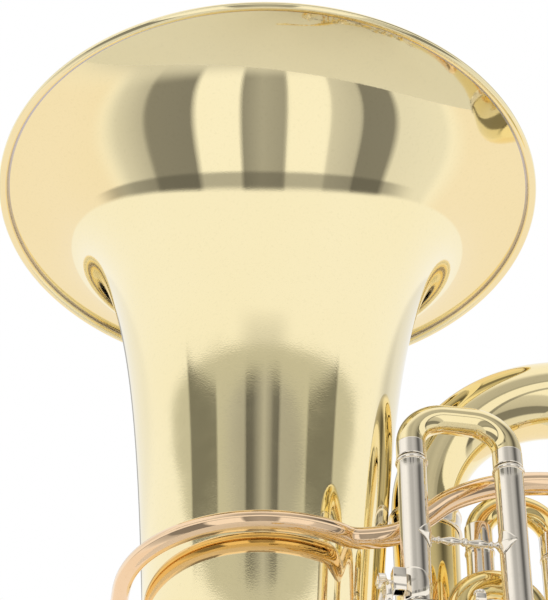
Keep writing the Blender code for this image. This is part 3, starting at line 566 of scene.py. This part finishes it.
# ---- tuning slide ----
for side, x in zip(("left", "right"), SLIDE_X):
    top = SLEEVE_TOP_Z - SLEEVE_LOW_Z
    rows = [(SLEEVE_R - SLEEVE_WALL, 0), (SLEEVE_R - 0.0002, 0), (SLEEVE_R, 0.0003)]
    rows += [(SLEEVE_R, z) for z in np.linspace(0.01, top - 0.0045, 12)]
    rows += [(SLEEVE_R + 0.00115 * sin(t) ** 0.8, top - 0.0022 - 0.0014 * cos(t))
             for t in np.linspace(0.05, pi - 0.05, 13)]
    rows += [(SLEEVE_R - 0.0001, top - 0.0004), (SLEEVE_R - 0.0004, top), (SLEEVE_R - SLEEVE_WALL, top)]
    bore = SLEEVE_R + 0.0001
    shells = [turned(rows, (x, SLIDE_Y, SLEEVE_LOW_Z), UP, 64),
              ferrule(x, SLIDE_Y, SLEEVE_LOW_Z - 0.01, SLEEVE_LOW_Z + 0.006, bore, bore, 0.0009, 0.0007, 56)]
    piece("tuning_sleeve_" + side + "_tube", shells, NICKEL, "tuning_sleeve_" + side)

crown = SLIDE_TOP_Z - CROOK_R
path = filleted([(SLIDE_X[0], SLIDE_Y, SLIDE_JOINT_Z), (SLIDE_X[0], SLIDE_Y, crown),
                 (SLIDE_X[1], SLIDE_Y, crown), (SLIDE_X[1], SLIDE_Y, SLIDE_JOINT_Z)], [CROOK_CORNER] * 2, 30)
# A smooth curve through every third point eases the arcs into the straight runs.
path = flowing(path[::3], 0.0016)
piece("tuning_crook_bow", [sweep(path, CROOK_R, CROOK_R - 0.0009, 56)], BRANCH_BRASS, "tuning_crook",
      "tuning_slide")
shells, legs = [], []
joint = SLIDE_JOINT_Z - SLEEVE_TOP_Z
for x in SLIDE_X:
    rows = [(INNER_R - SLEEVE_WALL, 0), (CROOK_R, 0), (CROOK_R + 0.00018, 0.0004),
            (CROOK_R + 0.00018, joint - 0.0008), (CROOK_R, joint), (INNER_R - SLEEVE_WALL, joint)]
    shells.append(lathe(rows, (x, SLIDE_Y, SLEEVE_TOP_Z + 0.0004), UP, 64, closed=True))
    path = [(x, SLIDE_Y, SLIDE_LEG_Z), (x, SLIDE_Y, SLEEVE_TOP_Z + 0.001)]
    legs.append(sweep(path, INNER_R, INNER_R - SLEEVE_WALL, 48))
piece("tuning_slide_ferrules", shells, NICKEL, body="tuning_slide")
piece("tuning_slide_legs", legs, NICKEL, body="tuning_slide")


# ---- braces ----
def mirrored(rows):
    """A brace's whole outline, from one half of it."""
    return rows + [(r, -z) for r, z in rows[::-1]]


def baluster(half):
    """The outline of an ornate brace with rings toward both ends, from its half length."""
    rows = [(0, -half), (0.0042, -half), (0.003, -half + 0.0008), (0.0017, -half + 0.0022),
            (0.0014, -half + 0.0036), (0.0024, -half + 0.0048), (0.0024, -half + 0.0056),
            (0.0013, -half + 0.0068), (0.0019, -half + 0.0085), (0.0028, -half + 0.0115),
            (0.003, -half * 0.38), (0.0022, -half * 0.24), (0.0014, -0.0024), (0.0026, -0.0014),
            (0.0028, -0.0006)]
    return mirrored(rows)


middle_x = sum(SLIDE_X) / 2
reach = (SLIDE_X[1] - SLIDE_X[0]) / 2 - SLEEVE_R - GAP
shells = [lathe(baluster(reach), (middle_x, SLIDE_Y, BRACE_Z), RIGHT, 40, 0.0012, 4)]
for x, way in zip(SLIDE_X, (1, -1)):
    shells.append(saddle_plate((x, SLIDE_Y, BRACE_Z), UP, SLEEVE_R, (way, -0.55, 0), 0.0098, 0.0092, 0.001,
                               1.15, 0.0008))
piece("tuning_brace_baluster", shells, NICKEL, "tuning_brace")

for name, z in (("brace_low", 0.3), ("brace_high", 0.6)):
    bell_r = float(bell_radius(np.array(RIM_Z - z)))
    a = BELL_X + bell_r + 0.0006
    b = SECOND_X - second_r(z) - GAP
    half = (b - a) / 2
    if half > 0.008:
        rows = [(0, -half), (0.0075, -half), (0.005, -half + 0.0012), (0.003, -half + 0.004),
                (0.0026, -0.0045), (0.0042, -0.0022)]
        rounding = 0.0016
    else:
        rows = [(0, -half), (0.006, -half), (0.0038, -half * 0.3)]
        rounding = 0.001
    shells = [lathe(mirrored(rows), ((a + b) / 2, 0, z), RIGHT, 40, rounding, 4),
              saddle_plate((BELL_X, 0, z), UP, bell_r, RIGHT, 0.017, 0.015, 0.0009, 1.5, 0.0006),
              saddle_plate((SECOND_X, 0, z), UP, second_r(z), LEFT, 0.013, 0.013, 0.0009, 1.5, 0.0006)]
    piece(name + "_baluster", shells, NICKEL, name)

# ---- lyre holder ----
lyre_x = SLIDE_X[0] - SLEEVE_R
centre = Vector((lyre_x - 0.0038, SLIDE_Y - 0.0085, LYRE_Z - 0.008))
path = [tuple(centre + Vector((0, 0, z))) for z in (0, 0.0003, 0.015, 0.016)]
shells = [sweep(path, [0.004, 0.0042, 0.0042, 0.004], 0.003, 4, RIGHT, section=round_corners(1, 1, 0.12)),
          block(centre + Vector((-0.004, -0.004, 0.0146)), centre + Vector((0.004, 0.004, 0.016)), 0.0006),
          saddle_plate((SLIDE_X[0], SLIDE_Y, LYRE_Z), UP, SLEEVE_R, (-0.7, -0.72, 0), 0.015, 0.0118,
                       0.0012, 2.2)]
piece("lyre_socket_box", shells, NICKEL, "lyre_socket")
rows = [(0, -0.01), (0.003, -0.01), (0.0036, -0.0094), (0.005, -0.009), (0.005, -0.0046),
        (0.0036, -0.0041), (0.0024, -0.0038), (0.0015, -0.003), (0.0015, 0.0035), (0, 0.0038)]
knurled = lathe(rows, (lyre_x - 0.008, SLIDE_Y - 0.0085, LYRE_Z - 0.001), RIGHT, 144, 0.0004,
                flutes=24, depth=0.0006, fluted=(-0.0091, -0.0045))
piece("lyre_screw_knurled", [knurled], NICKEL, "lyre_screw", "lyre_thumbscrew")

# ---- leadpipe, receiver and mouthpiece ----
round_path = arc((BELL_X, 0, PIPE_Z), PIPE_ROUND, 182, 298, 16, RIGHT, BACK)
tail = [(-0.1172, -0.0865, 0.6128), (-0.102, -0.089, 0.617), (-0.086, -0.09, 0.63),
        (-0.072, -0.0895, 0.643), (-0.056, -0.088, 0.6535), (-0.038, -0.0865, 0.662),
        (-0.018, -0.0855, 0.6675), (0.006, -0.085, 0.6705)]
down = filleted([(0.03, -0.0835, 0.6705), (0.115, -0.07, 0.666), (0.115, VALVE_Y, VALVE_Z[0] + PORT),
                 (STUB_X, VALVE_Y, VALVE_Z[0] + PORT)], [0.04, 0.017], 7)
head = [(BELL_X - 0.0935, 0.055, 0.618), (BELL_X - 0.095, 0.028, 0.614)]
path = flowing(head + list(round_path) + tail + down, 0.0035)
size = along(path, PIPE_R, TUBE_R)
piece("leadpipe_tube", [sweep(path, size, size - WALL, 48, UP)], GOLD, "leadpipe")
aim = (Vector(head[0]) - Vector(head[1])).normalized()
mouth = Vector(head[0]) - aim * 0.012
rows = [(0.0065, 0), (0.007, 0), (0.0082, 0.0035), (0.0078, 0.005), (0.0084, 0.0065), (0.0082, 0.0085),
        (0.0085, 0.044), (0.0101, 0.0462), (0.0101, 0.049), (0.009, 0.0502), (0.0096, 0.0515),
        (0.0095, 0.054), (0.007, 0.054), (0.0068, 0.03)]
piece("receiver_tube", [lathe(rows, mouth, aim, 64, 0.0006, 4, True)], NICKEL, "receiver")
outside = [(0.0059, 0), (0.006, 0.0004), (0.0074, 0.04), (0.0079, 0.045), (0.0074, 0.047),
           (0.0086, 0.05), (0.0078, 0.053), (0.0092, 0.057), (0.0125, 0.062), (0.0158, 0.068),
           (0.0172, 0.0735), (0.0174, 0.078), (0.0186, 0.0805), (0.0192, 0.0835), (0.0189, 0.0855),
           (0.018, 0.086)]
bore = [(0.0168, 0.0855), (0.016, 0.0835), (0.015, 0.078), (0.0128, 0.07), (0.0085, 0.064),
        (0.0045, 0.06), (0.004, 0.055), (0.0042, 0.045), (0.0052, 0)]
piece("mouthpiece_cup", [lathe(outside + bore, mouth + aim * 0.03, aim, 72, 0.0014, 5, True)], SILVER,
      "mouthpiece", "mouthpiece_body")


# ---- valves ----
def casing(z):
    """The shell, its ridged back cover and the two pipes that cross it."""
    base = (VALVE_X, VALVE_Y - VALVE_HALF, z)
    rows = [(0.0186, 0), (0.0205, 0), (0.0207, 0.001), (0.0202, 0.0022), (0.0202, 0.05), (0.021, 0.0508),
            (0.021, 0.0524), (0.0202, 0.0535), (0.011, 0.0535), (0.01, 0.05), (0.0186, 0.05)]
    shells = [lathe(rows, base, BACK, 80, 0.0005, closed=True)]
    rows = [(0, 0.05), (0.0098, 0.05), (0.0098, 0.0537), (0.008, 0.0548), (0.006, 0.0548),
            (0.0052, 0.054), (0, 0.054)]
    shells.append(lathe(rows, base, BACK, 96, 0.0005, flutes=36, depth=0.0004, fluted=(0.0502, 0.053)))
    swell = [(STUB, TUBE_R), (0.024, TUBE_R), (0.015, 0.0095), (0.008, 0.0099)]
    pipe = [(-d, r) for d, r in swell] + [(0, 0.0101)] + swell[::-1]
    for dz in (PORT, -PORT):
        path = [(VALVE_X + d, VALVE_Y, z + dz) for d, r in pipe]
        shells.append(sweep(path, [r for d, r in pipe], TUBE_R - WALL, 48))
    return shells


def port_rings(z):
    bore = TUBE_R + 0.0001
    rows = [(bore, 0), (bore + 0.0007, 0), (bore + 0.0012, 0.0008), (bore + 0.0006, 0.0018),
            (bore + 0.0006, 0.005), (bore + 0.0012, 0.006), (bore + 0.0007, 0.0068), (bore, 0.0068)]
    return [lathe(rows, (VALVE_X + way * (STUB - 0.004), VALVE_Y, z + dz), (way, 0, 0), 48, closed=True)
            for dz in (PORT, -PORT) for way in (-1, 1)]


def front_cap(z):
    rows = [(0.0037, 0), (0.0216, 0), (0.022, 0.0006), (0.022, 0.003), (0.021, 0.0038), (0.0186, 0.0036),
            (0.017, 0.0042), (0.009, 0.0042), (0.0078, 0.0052), (0.0052, 0.0054), (0.0037, 0.005)]
    return lathe(rows, (VALVE_X, VALVE_Y - VALVE_HALF - GAP, z), FRONT, 192, 0.0004, closed=True,
                 flutes=48, depth=0.00035, fluted=(0.0007, 0.003))


def rotor(z):
    """The rotor, its shaft, hub, screw and stop arm, and the pin that the link's fork holds."""
    shells = []
    for y, count, size, steps, rows in (
            (VALVE_Y - VALVE_HALF + 0.003, 56, 0.0006, 2,
             [(0, 0), (ROTOR_R, 0), (ROTOR_R, 0.046), (0, 0.046)]),
            (ROD_Y + 0.004, 32, 0.0004, 3,
             [(0, 0), (0.0022, 0), (0.0032, 0.0008), (0.0032, 0.0258), (0, 0.0258)]),
            (ROD_Y + 0.002, 40, 0.0003, 3,
             [(0, 0), (0.0036, 0), (0.0042, 0.0004), (0.0052, 0.0014), (0.0052, 0.0056), (0.0046, 0.0065),
              (0, 0.0065)]),
            (ROD_Y + 0.0016, 32, 0.0003, 3,
             [(0, -0.0009), (0.002, -0.0009), (0.0026, -0.0003), (0.0026, 0.0012), (0, 0.0012)])):
        shells.append(lathe(rows, (VALVE_X, y, z), BACK, count, size, steps))
    shells.append(block((VALVE_X - 0.0024, ROD_Y + 0.003, z),
                        (VALVE_X + 0.0024, ROD_Y + 0.0062, z + STOP_ARM + 0.0022),
                        0.001, Matrix.Rotation(radians(-45), 3, "Y"), (VALVE_X, 0, z)))
    rows = [(0, 0), (0.0009, 0), (0.0012, 0.0003), (0.0012, 0.0077), (0, 0.0077)]
    shells.append(turned(rows, (STOP_X, ROD_Y - 0.0032, z + STOP_RISE), BACK, 20))
    return shells


for number, z in enumerate(VALVE_Z, 1):
    piece(f"valve_casing_{number}_body", casing(z), BRASS, f"valve_casing_{number}")
    piece(f"valve_port_rings_{number}", port_rings(z), NICKEL)
    piece(f"valve_cap_{number}_disc", [front_cap(z)], NICKEL, f"valve_cap_{number}")
    piece(f"rotor_{number}_spindle", rotor(z), BRASS, f"rotor_{number}", f"rotor_{number}_body")

for number in (1, 2, 3):
    low = VALVE_Z[number - 1] - PORT
    high = VALVE_Z[number] + PORT
    path = arc((STUB_X, VALVE_Y, (low + high) / 2), (low - high) / 2, 90, -90, 40)
    bow(f"knuckle_{number}_bend", path, TUBE_R, TUBE_R, 48, BRASS, f"knuckle_{number}", ends=(RIGHT, LEFT))

exit_x, exit_low = 0.112, 0.236
path = filleted([(STUB_X, VALVE_Y, VALVE_Z[3] - PORT), (exit_x, VALVE_Y, VALVE_Z[3] - PORT),
                 (exit_x, VALVE_Y, exit_low), (SLIDE_X[1], SLIDE_Y, exit_low),
                 (SLIDE_X[1], SLIDE_Y, SLEEVE_LOW_Z - GAP)], [0.019, 0.034, 0.034], 18)
bow("exit_bow_tube", path, TUBE_R, TUBE_R, 48, BRASS, "exit_bow")


# ---- valve slides ----
def end_band(point, way, length, radius, over, bead_r):
    """A short sleeve on a tube's end with one bead at its mouth."""
    face = radius + over
    rows = [(radius - 0.0006, 0), (radius + 0.0001, 0), (face, 0.0005), (face, length - 3.2 * bead_r)]
    rows += [(face + bead_r * sin(t), length - bead_r * (1.4 + cos(t)))
             for t in np.linspace(0.1, pi - 0.1, 9)]
    rows += [(face - 0.0002, length), (radius - 0.0006, length)]
    return turned(rows, np.asarray(point) - np.asarray(way) * length, way, 56)


def valve_slide(number, feet, ends, way, reach, brace_at, band):
    """Sleeves and their feet on the horn; bow, ferrules and inner legs on the slide's own body."""
    way = vec(way)
    ends = [vec(e) for e in ends]
    side = np.cross(ends[1] - ends[0], way)
    inside = TUBE_R - SLEEVE_WALL
    sleeves, foot_pipes = [], []
    for foot, end in zip(feet, ends):
        foot = [vec(p) for p in foot]
        foot_pipes.append(sweep(foot + [end - way * 0.004], TUBE_R - 0.0002, inside, 44, side))
        ring = end - way * min(0.052, abs(float((end - foot[-1]) @ way)))
        sleeves += [sweep([ring, end - way * 0.0005], TUBE_R, inside, 48, side),
                    end_band(end, way, 0.006, TUBE_R, 0.0001, 0.0008), torus(ring, way, TUBE_R, 0.0009, 48)]
    between = unit(ends[1] - ends[0])
    spacing = np.linalg.norm(ends[1] - ends[0])
    half = spacing / 2 - TUBE_R - 0.0001
    centre = (ends[0] + ends[1]) / 2 - way * brace_at
    if half > 0.012:
        sleeves.append(lathe(baluster(half), centre, between, 36, 0.0012, 4))
    else:
        rows = [(0, -half), (0.004, -half), (0.0022, -half * 0.55), (0.0019, -half * 0.2)]
        rows += [(0.003, 0)] + [(r, -z) for r, z in rows[::-1]]
        sleeves.append(lathe(rows, centre, between, 32, 0.001, 4))
    for sign, end in ((1, ends[0]), (-1, ends[1])):
        sleeves.append(saddle_plate(end - way * brace_at, way, TUBE_R, sign * between, 0.0062, 0.007, 0.0008,
                                    1.3, 0.0004))
    piece(f"slide_{number}_feet", foot_pipes, BRASS, f"slide_sleeves_{number}")
    piece(f"slide_{number}_sleeves", sleeves, NICKEL)
    corner = min(spacing / 2 - 0.0001, 0.024)
    crowns = [e + way * reach for e in ends]
    lips = [e + way * (band + 0.0004) for e in ends]
    path = filleted([lips[0], crowns[0], crowns[1], lips[1]], [corner, corner], 22)
    body = f"slide_{number}"
    crook = sweep(path, TUBE_R, inside, 48, side)
    piece(f"slide_{number}_bow", [crook], BRASS, f"slide_crook_{number}", body)
    bore = LEG_R - SLEEVE_WALL
    rows = [(bore, 0), (TUBE_R, 0), (TUBE_R + 0.00018, 0.0005), (TUBE_R + 0.00018, band - 0.0006),
            (TUBE_R, band), (bore, band)]
    shells = []
    for end in ends:
        shells += [lathe(rows, end + way * 0.0004, way, 56, closed=True),
                   sweep([end - way * SLIDE_LEG, end + way * 0.001], LEG_R, bore, 44, side)]
    piece(f"slide_{number}_legs", shells, NICKEL, body=body)


def foot_path(corners, radii):
    """From a valve's left port round its corners, up to where the last one ends."""
    return filleted([(LEFT_X, VALVE_Y, corners[0][2])] + corners, radii)[:-1]


left, right, top_z = -0.0428, 0.0085, 0.6265
out_z, in_z = VALVE_Z[0] - PORT, VALVE_Z[0] + PORT
valve_slide(1, [foot_path([(left, VALVE_Y, out_z), (left, VALVE_Y, 0.6)], [0.022]),
                foot_path([(right, VALVE_Y, in_z), (right, VALVE_Y, 0.6)], [0.018])],
            [(left, VALVE_Y, top_z), (right, VALVE_Y, top_z)], UP, 0.0385, 0.045, 0.019)
left, right, top_z = -0.066, -0.016, 0.556
out_z, in_z = VALVE_Z[1] - PORT, VALVE_Z[1] + PORT
valve_slide(2, [foot_path([(0.014, VALVE_Y, out_z), (left, FRONT_Y, out_z), (left, FRONT_Y, 0.52)],
                          [0.012, 0.022]),
                foot_path([(0.02, VALVE_Y, in_z), (right, FRONT_Y, in_z + 0.001), (right, FRONT_Y, 0.52)],
                          [0.012, 0.018])],
            [(left, FRONT_Y, top_z), (right, FRONT_Y, top_z)], UP, 0.027, 0.025, 0.003)
for number, tip in ((3, -0.06), (4, -0.072)):
    levels = [VALVE_Z[number - 1] + dz for dz in (PORT, -PORT)]
    valve_slide(number, [[(LEFT_X, VALVE_Y, z), (tip + 0.03, VALVE_Y, z)] for z in levels],
                [(tip, VALVE_Y, z) for z in levels], LEFT, 0.017, 0.03, 0.001)


# ---- paddles, links and rack ----
def touch_plate(touch):
    """A thin domed oval, a little narrower at its tip."""
    around, rings = 56, 9
    angle = 2 * np.pi * np.arange(around) / around
    shares = np.linspace(0.08, 1, rings)
    plate = []
    for lift, edge, order in ((-0.001, -0.0003, shares), (0.0008, 0.0003, shares[::-1])):
        for s in order:
            y = touch.y + lift - 0.0016 * (1 - s * s) + (1 - s ** 10) * edge
            plate.append(np.column_stack([touch.x - 0.004 + 0.0148 * s * np.cos(angle), np.full(around, y),
                                          touch.z + 0.0102 * s * np.sin(angle) * (1 - 0.1 * np.cos(angle))]))
    faces = [grid_faces(2 * rings, around, False, True)] + end_caps(2 * rings, around)
    return np.concatenate(plate), faces


def paddle(hinge, pivot, touch):
    """The hub on the rod, the short arm to the link's pivot, the long arm and the touch plate."""
    rows = [(0.0026, -0.006), (0.004, -0.006), (0.0047, -0.0052), (0.0043, -0.0042), (0.0043, 0.0042),
            (0.0047, 0.0052), (0.004, 0.006), (0.0026, 0.006)]
    shells = [lathe(rows, hinge, UP, 48, closed=True)]
    back = (pivot - hinge).normalized()
    drop = Vector((0, 0, -0.003))
    path = flowing([hinge + drop + back * 0.003, hinge + drop + back * 0.016, pivot + drop - back * 0.008,
                    pivot + drop], 0.0012)
    size = np.interp(np.linspace(0, 1, len(path)), [0, 0.4, 1], [0.0026, 0.0019, 0.0019])
    shells.append(sweep(path, size, None, 28, UP))
    rows = [(0, -0.004), (0.0026, -0.004), (0.003, -0.0034), (0.003, -0.0014), (0.0022, -0.001),
            (0.0012, -0.0008), (0.0012, 0.003), (0, 0.0032)]
    shells.append(lathe(rows, pivot, UP, 32))
    bend = Vector((HINGE_X - 0.03, HINGE_Y - 0.024, hinge.z + (touch.z - hinge.z) * 0.3))
    path = flowing([hinge, bend, touch + Vector((0.03, -0.002, 0)), touch + Vector((0.002, 0.0008, 0))],
                   0.0015)
    size = np.interp(np.linspace(0, 1, len(path)), [0, 0.1, 0.5, 0.9, 1],
                     [0.0034, 0.0032, 0.0027, 0.0026, 0.002])
    turns = 2 * np.pi * np.arange(24) / 24
    flat = np.column_stack([1.25 * np.cos(turns), 0.62 * np.sin(turns)])
    return shells + [sweep(path, size, None, 24, UP, section=flat), touch_plate(touch)]


def link(pivot):
    """The rod from the paddle's pivot, its eye there and its fork round the stop arm's pin."""
    level = pivot.z
    start, end = pivot + Vector((0, 0, 0.0008)), Vector((STOP_X - 0.002, ROD_Y, level + 0.0008))
    length = (end - start).length
    rows = [(0, 0.0015), (0.0024, 0.002), (0.0024, 0.007), (0.0016, 0.0082), (0.0012, 0.0088),
            (0.0012, length - 0.017), (0.0018, length - 0.0165), (0.0018, length - 0.003),
            (0, length - 0.002)]
    shells = [lathe(rows, start, (end - start).normalized(), 28)]
    rows = [(0.0014, -0.0004), (0.003, -0.0004), (0.0033, 0.0002), (0.0033, 0.0014), (0.003, 0.002),
            (0.0014, 0.002)]
    shells.append(lathe(rows, pivot, UP, 36, closed=True))
    wide, slot, low, high = 0.0034, 0.0019, level - 0.0032, level + 0.0061
    for x1, z1, x2, z2 in ((-wide, low, wide, level - 0.0018), (-wide, level + 0.0047, wide, high),
                           (-wide, low, -slot, high), (slot, low, wide, high)):
        shells.append(block((STOP_X + x1, ROD_Y - 0.0013, z1), (STOP_X + x2, ROD_Y + 0.0013, z2), 0.0004))
    return shells


def spring(level):
    turns, radius, rise = 9, 0.0034, 0.013
    coil = [(HINGE_X + radius * cos(t), HINGE_Y + radius * sin(t),
             level + 0.0066 + rise * t / (2 * pi * turns)) for t in np.linspace(0, 2 * pi * turns, 200)]
    return sweep(coil, 0.00045, None, 8, UP)


springs = []
for number, z in enumerate(VALVE_Z, 1):
    level = z + STOP_RISE
    hinge = Vector((HINGE_X, HINGE_Y, level))
    pivot = Vector((HINGE_X - ARM * sin(PRESS / 2), HINGE_Y + ARM * cos(PRESS / 2), level))
    touch = Vector((HINGE_X - 0.105, HINGE_Y - 0.034, TOUCH_Z[number - 1]))
    piece(f"paddle_{number}_lever", paddle(hinge, pivot, touch), BRASS, f"paddle_{number}",
          f"paddle_{number}_body")
    piece(f"link_{number}_rod", link(pivot), STEEL, f"link_{number}", f"link_{number}_body")
    springs.append(spring(level))

rack_low = VALVE_Z[3] - 0.03
rack_high = VALVE_Z[0] + 0.034
rows = [(0, rack_low - 0.0042), (0.0022, rack_low - 0.0036),
        (0.0022, rack_high + 0.0036), (0, rack_high + 0.0042)]
shells = [turned(rows, (HINGE_X, HINGE_Y, 0), UP, 28)]
bar_y = SLIDE_Y - SLEEVE_R - 0.003
nut = [(0, 0), (0.0034, 0), (0.004, 0.0008), (0.0036, 0.002), (0, 0.0026)]
screw = [(0, 0), (0.003, 0), (0.003, 0.001), (0.0018, 0.0019), (0, 0.0021)]
stud = [(0, 0), (0.0042, 0), (0.003, 0.0012), (0.003, 0.0022), (0, 0.0022)]
for z in (rack_low, rack_high):
    shells += [block((SLIDE_X[0] - 0.006, bar_y - 0.0014, z - 0.0045),
                     (SLIDE_X[1] + 0.006, bar_y + 0.0014, z + 0.0045), 0.0012),
               block((HINGE_X - 0.0034, HINGE_Y - 0.004, z - 0.0034),
                     (HINGE_X + 0.0034, bar_y, z + 0.0034), 0.0012)]
    for way in (1, -1):
        shells.append(lathe(nut, (HINGE_X, HINGE_Y, z + way * 0.0036), (0, 0, way), 32, 0.0004))
    for x in SLIDE_X:
        shells += [lathe(screw, (x, bar_y - 0.0014, z), FRONT, 28, 0.0004),
                   lathe(stud, (x, SLIDE_Y - SLEEVE_R + 0.0003, z), FRONT, 28)]
piece("paddle_rack_frame", shells, NICKEL, "paddle_rack")
piece("paddle_springs", springs, STEEL)

ring_r = 0.0135
thumb = Vector((HINGE_X - 0.06, HINGE_Y - 0.004, 0.52))
sleeve_axis = Vector((SLIDE_X[0], SLIDE_Y, thumb.z))
to_ring = thumb + Vector((0, ring_r, 0)) - sleeve_axis
way = to_ring.normalized()
length = to_ring.length - SLEEVE_R
rows = [(0, 0), (0.005, 0.0003), (0.0036, 0.0012), (0.002, 0.0034), (0.0018, length * 0.7),
        (0.0024, length), (0, length)]
shells = [torus(thumb, RIGHT, ring_r, 0.0021, 88, 18),
          lathe(rows, sleeve_axis + way * SLEEVE_R, way, 32, 0.001, 4),
          saddle_plate(sleeve_axis, UP, SLEEVE_R, way, 0.0075, 0.0085, 0.0009, 1.5, 0.0004)]
piece("thumb_ring_loop", shells, NICKEL, "thumb_ring")

# ---- studio ----
EYE = (-0.361, -1.2147, -0.1671)
YAW, PITCH, ROLL = radians(8.769), radians(40.411), radians(0.5076)
LENS_MM = 128.1
FLOOR_R = 0.8
ahead = Vector((sin(YAW) * cos(PITCH), cos(YAW) * cos(PITCH), sin(PITCH)))
level_right = Vector((cos(YAW), -sin(YAW), 0))
level_up = level_right.cross(ahead)
right = level_right * cos(ROLL) + level_up * sin(ROLL)
top = level_up * cos(ROLL) - level_right * sin(ROLL)
lens = bpy.data.cameras.new("view")
lens.sensor_width = 36.0
lens.lens = LENS_MM
lens.clip_start = 0.01
camera = add("view", lens)
camera.matrix_world = Matrix.Translation(EYE) @ Matrix((right, top, -ahead)).transposed().to_4x4()
bpy.context.scene.camera = camera

floor_mesh = bpy.data.meshes.new("floor")
edge = [(FLOOR_R * cos(t), FLOOR_R * sin(t), 0) for t in np.linspace(0, 2 * pi, 129)[:-1]]
floor_mesh.from_pydata(edge, [], [list(range(len(edge)))])
floor = add("floor", floor_mesh)
paper = bpy.data.materials.new("pale_paper")
paper.use_nodes = True
kit = Nodes(paper.node_tree)
shade = paper.node_tree.nodes["Principled BSDF"]
shade.inputs["Roughness"].default_value = 0.85
where = kit.new("TexCoord").outputs["Object"]
tone = kit.blend(kit.noise(where, 4.0), (0.9, 0.9, 0.895, 1), (0.93, 0.93, 0.925, 1))
paper.node_tree.links.new(tone, shade.inputs["Base Color"])
floor_mesh.materials.append(paper)

world = bpy.data.worlds.new("studio")
bpy.context.scene.world = world
world.use_nodes = True
tree = world.node_tree
kit = Nodes(tree)


def sum_of(how, a, b=0.0):
    return kit.new("Math", {0: a, 1: b}, operation=how).outputs[0]


def times(a, b):
    return sum_of("MULTIPLY", a, b)


def less(a, b):
    return sum_of("SUBTRACT", a, b)


def ramp(value, stops, low=-180, high=180):
    """Grey levels at the stops' values, in degrees, with straight runs between them."""
    node = kit.new("ValToRGB", {"Fac": sum_of("DIVIDE", less(value, low), high - low)})
    elements = node.color_ramp.elements
    for index, (at, grey) in enumerate(stops):
        spot = (at - low) / (high - low)
        element = elements[index] if index < 2 else elements.new(spot)
        element.position = spot
        element.color = (grey, grey, grey, 1)
    return node.outputs["Color"]


def step(value, low, high):
    """0 below low, 1 above high, with a smooth rise between them."""
    values = {"Value": value, "From Min": low, "From Max": high}
    return kit.new("MapRange", values, interpolation_type="SMOOTHSTEP").outputs["Result"]


def window(value, a, b, c, d):
    """1 between b and c, 0 outside a and d."""
    return times(step(value, a, b), less(1.0, step(value, c, d)))


# The room, by compass angle from the front and by height: white walls with tall grey screens, a darker rail
# along their top, white above and grey underfoot, and soft bands high up.
way = kit.new("SeparateXYZ", {0: kit.new("TexCoord").outputs["Generated"]}).outputs
compass = times(sum_of("ARCTAN2", way["X"], times(way["Y"], -1.0)), 180 / pi)
height = times(sum_of("ARCSINE", way["Z"]), 180 / pi)
screens = ramp(compass, [
    (-180, 0.5), (-171, 0.56), (-169, 0.96), (-160, 0.94), (-145, 0.98), (-104, 0.97), (-94, 0.7),
    (-80, 0.52), (-77, 0.26), (-52, 0.24), (-48, 1), (-25, 1), (-23, 0.3), (-12, 0.42), (1, 0.36), (3, 1),
    (25, 1), (27, 0.66), (43, 0.55), (45, 0.23), (62, 0.24), (66, 0.8), (92, 0.86), (97, 0.98), (145, 0.98),
    (160, 0.94), (169, 0.96), (171, 0.56), (180, 0.5)])
inner = ramp(compass, [
    (-180, 0.45), (-40, 0.5), (-26, 0.42), (-24, 0.14), (-19, 0.16), (-15, 0.3), (-9, 0.5), (-4, 0.34),
    (-1, 0.18), (3, 0.16), (5, 0.44), (30, 0.4), (180, 0.45)])
bands = ramp(compass, [
    (-180, 0.42), (-171, 0.46), (-169, 0.92), (-120, 0.9), (-105, 0.8), (-92, 0.98), (-58, 1), (-42, 0.76),
    (-30, 0.54), (-12, 0.48), (2, 0.56), (18, 0.48), (30, 0.32), (44, 0.1), (56, 0.18), (68, 0.4), (88, 0.6),
    (105, 0.52), (125, 0.82), (160, 0.92), (169, 0.92), (171, 0.46), (180, 0.42)])
low_share = window(height, -64, -50, 8.6, 10.4)
rail_share = times(window(height, 3.6, 5.2, 8.2, 10.4), window(compass, -124, -104, 62, 88))
# Over the front stand a wide arch, a narrow one inside it with its own greys, and a dark one on each side.
ARCH_TOP = (30.8, 32.2)
aside = sum_of("POWER", sum_of("ADD", compass, 9.0), 2.0)
under = less(1.0, step(height, *ARCH_TOP))


def above_curve(rise, low, high):
    """1 above a curve that climbs with the square of the distance from the arches' middle."""
    return step(less(height, times(aside, rise)), low, high)


wide = above_curve(0.00049, 25.7, 26.0)
haze = times(window(height, 24.2, 25.9, *ARCH_TOP), window(compass, -36, -14, -4, 16))
narrow = times(above_curve(0.00094, 26.45, 26.75), window(compass, -52, -48, 29, 32))
sides = times(above_curve(0.00012, 27.05, 27.5),
              sum_of("ADD", window(compass, -78, -75, -52, -49), window(compass, 27, 30, 53, 56)))
band_share = window(height, *ARCH_TOP, 48, 62)
open_sky = ramp(height, [(-90, 0.66), (-62, 0.7), (-40, 0.98), (90, 0.98)], -90, 90)
room = kit.blend(low_share, open_sky, screens)
warm_side = less(1.0, window(compass, -112, -96, 92, 108))
for share, tone in ((times(warm_side, low_share), (0.945, 0.88, 0.81, 1)),
                    (times(rail_share, 0.6), (0.1, 0.1, 0.1, 1)),
                    (times(haze, 0.3), (0.1, 0.1, 0.08, 1)),
                    (times(wide, under), (0.58, 0.58, 0.54, 1)),
                    (times(narrow, under), inner),
                    (times(sides, under), (0.21, 0.21, 0.19, 1)),
                    (band_share, bands)):
    room = kit.blend(share, room, tone)
seen = kit.new("LightPath").outputs["Is Camera Ray"]
background = tree.nodes["Background"]
tree.links.new(kit.blend(seen, room, (1, 1, 1, 1)), background.inputs["Color"])
background.inputs["Strength"].default_value = 1.0
bpy.context.scene.view_settings.view_transform = "Standard"
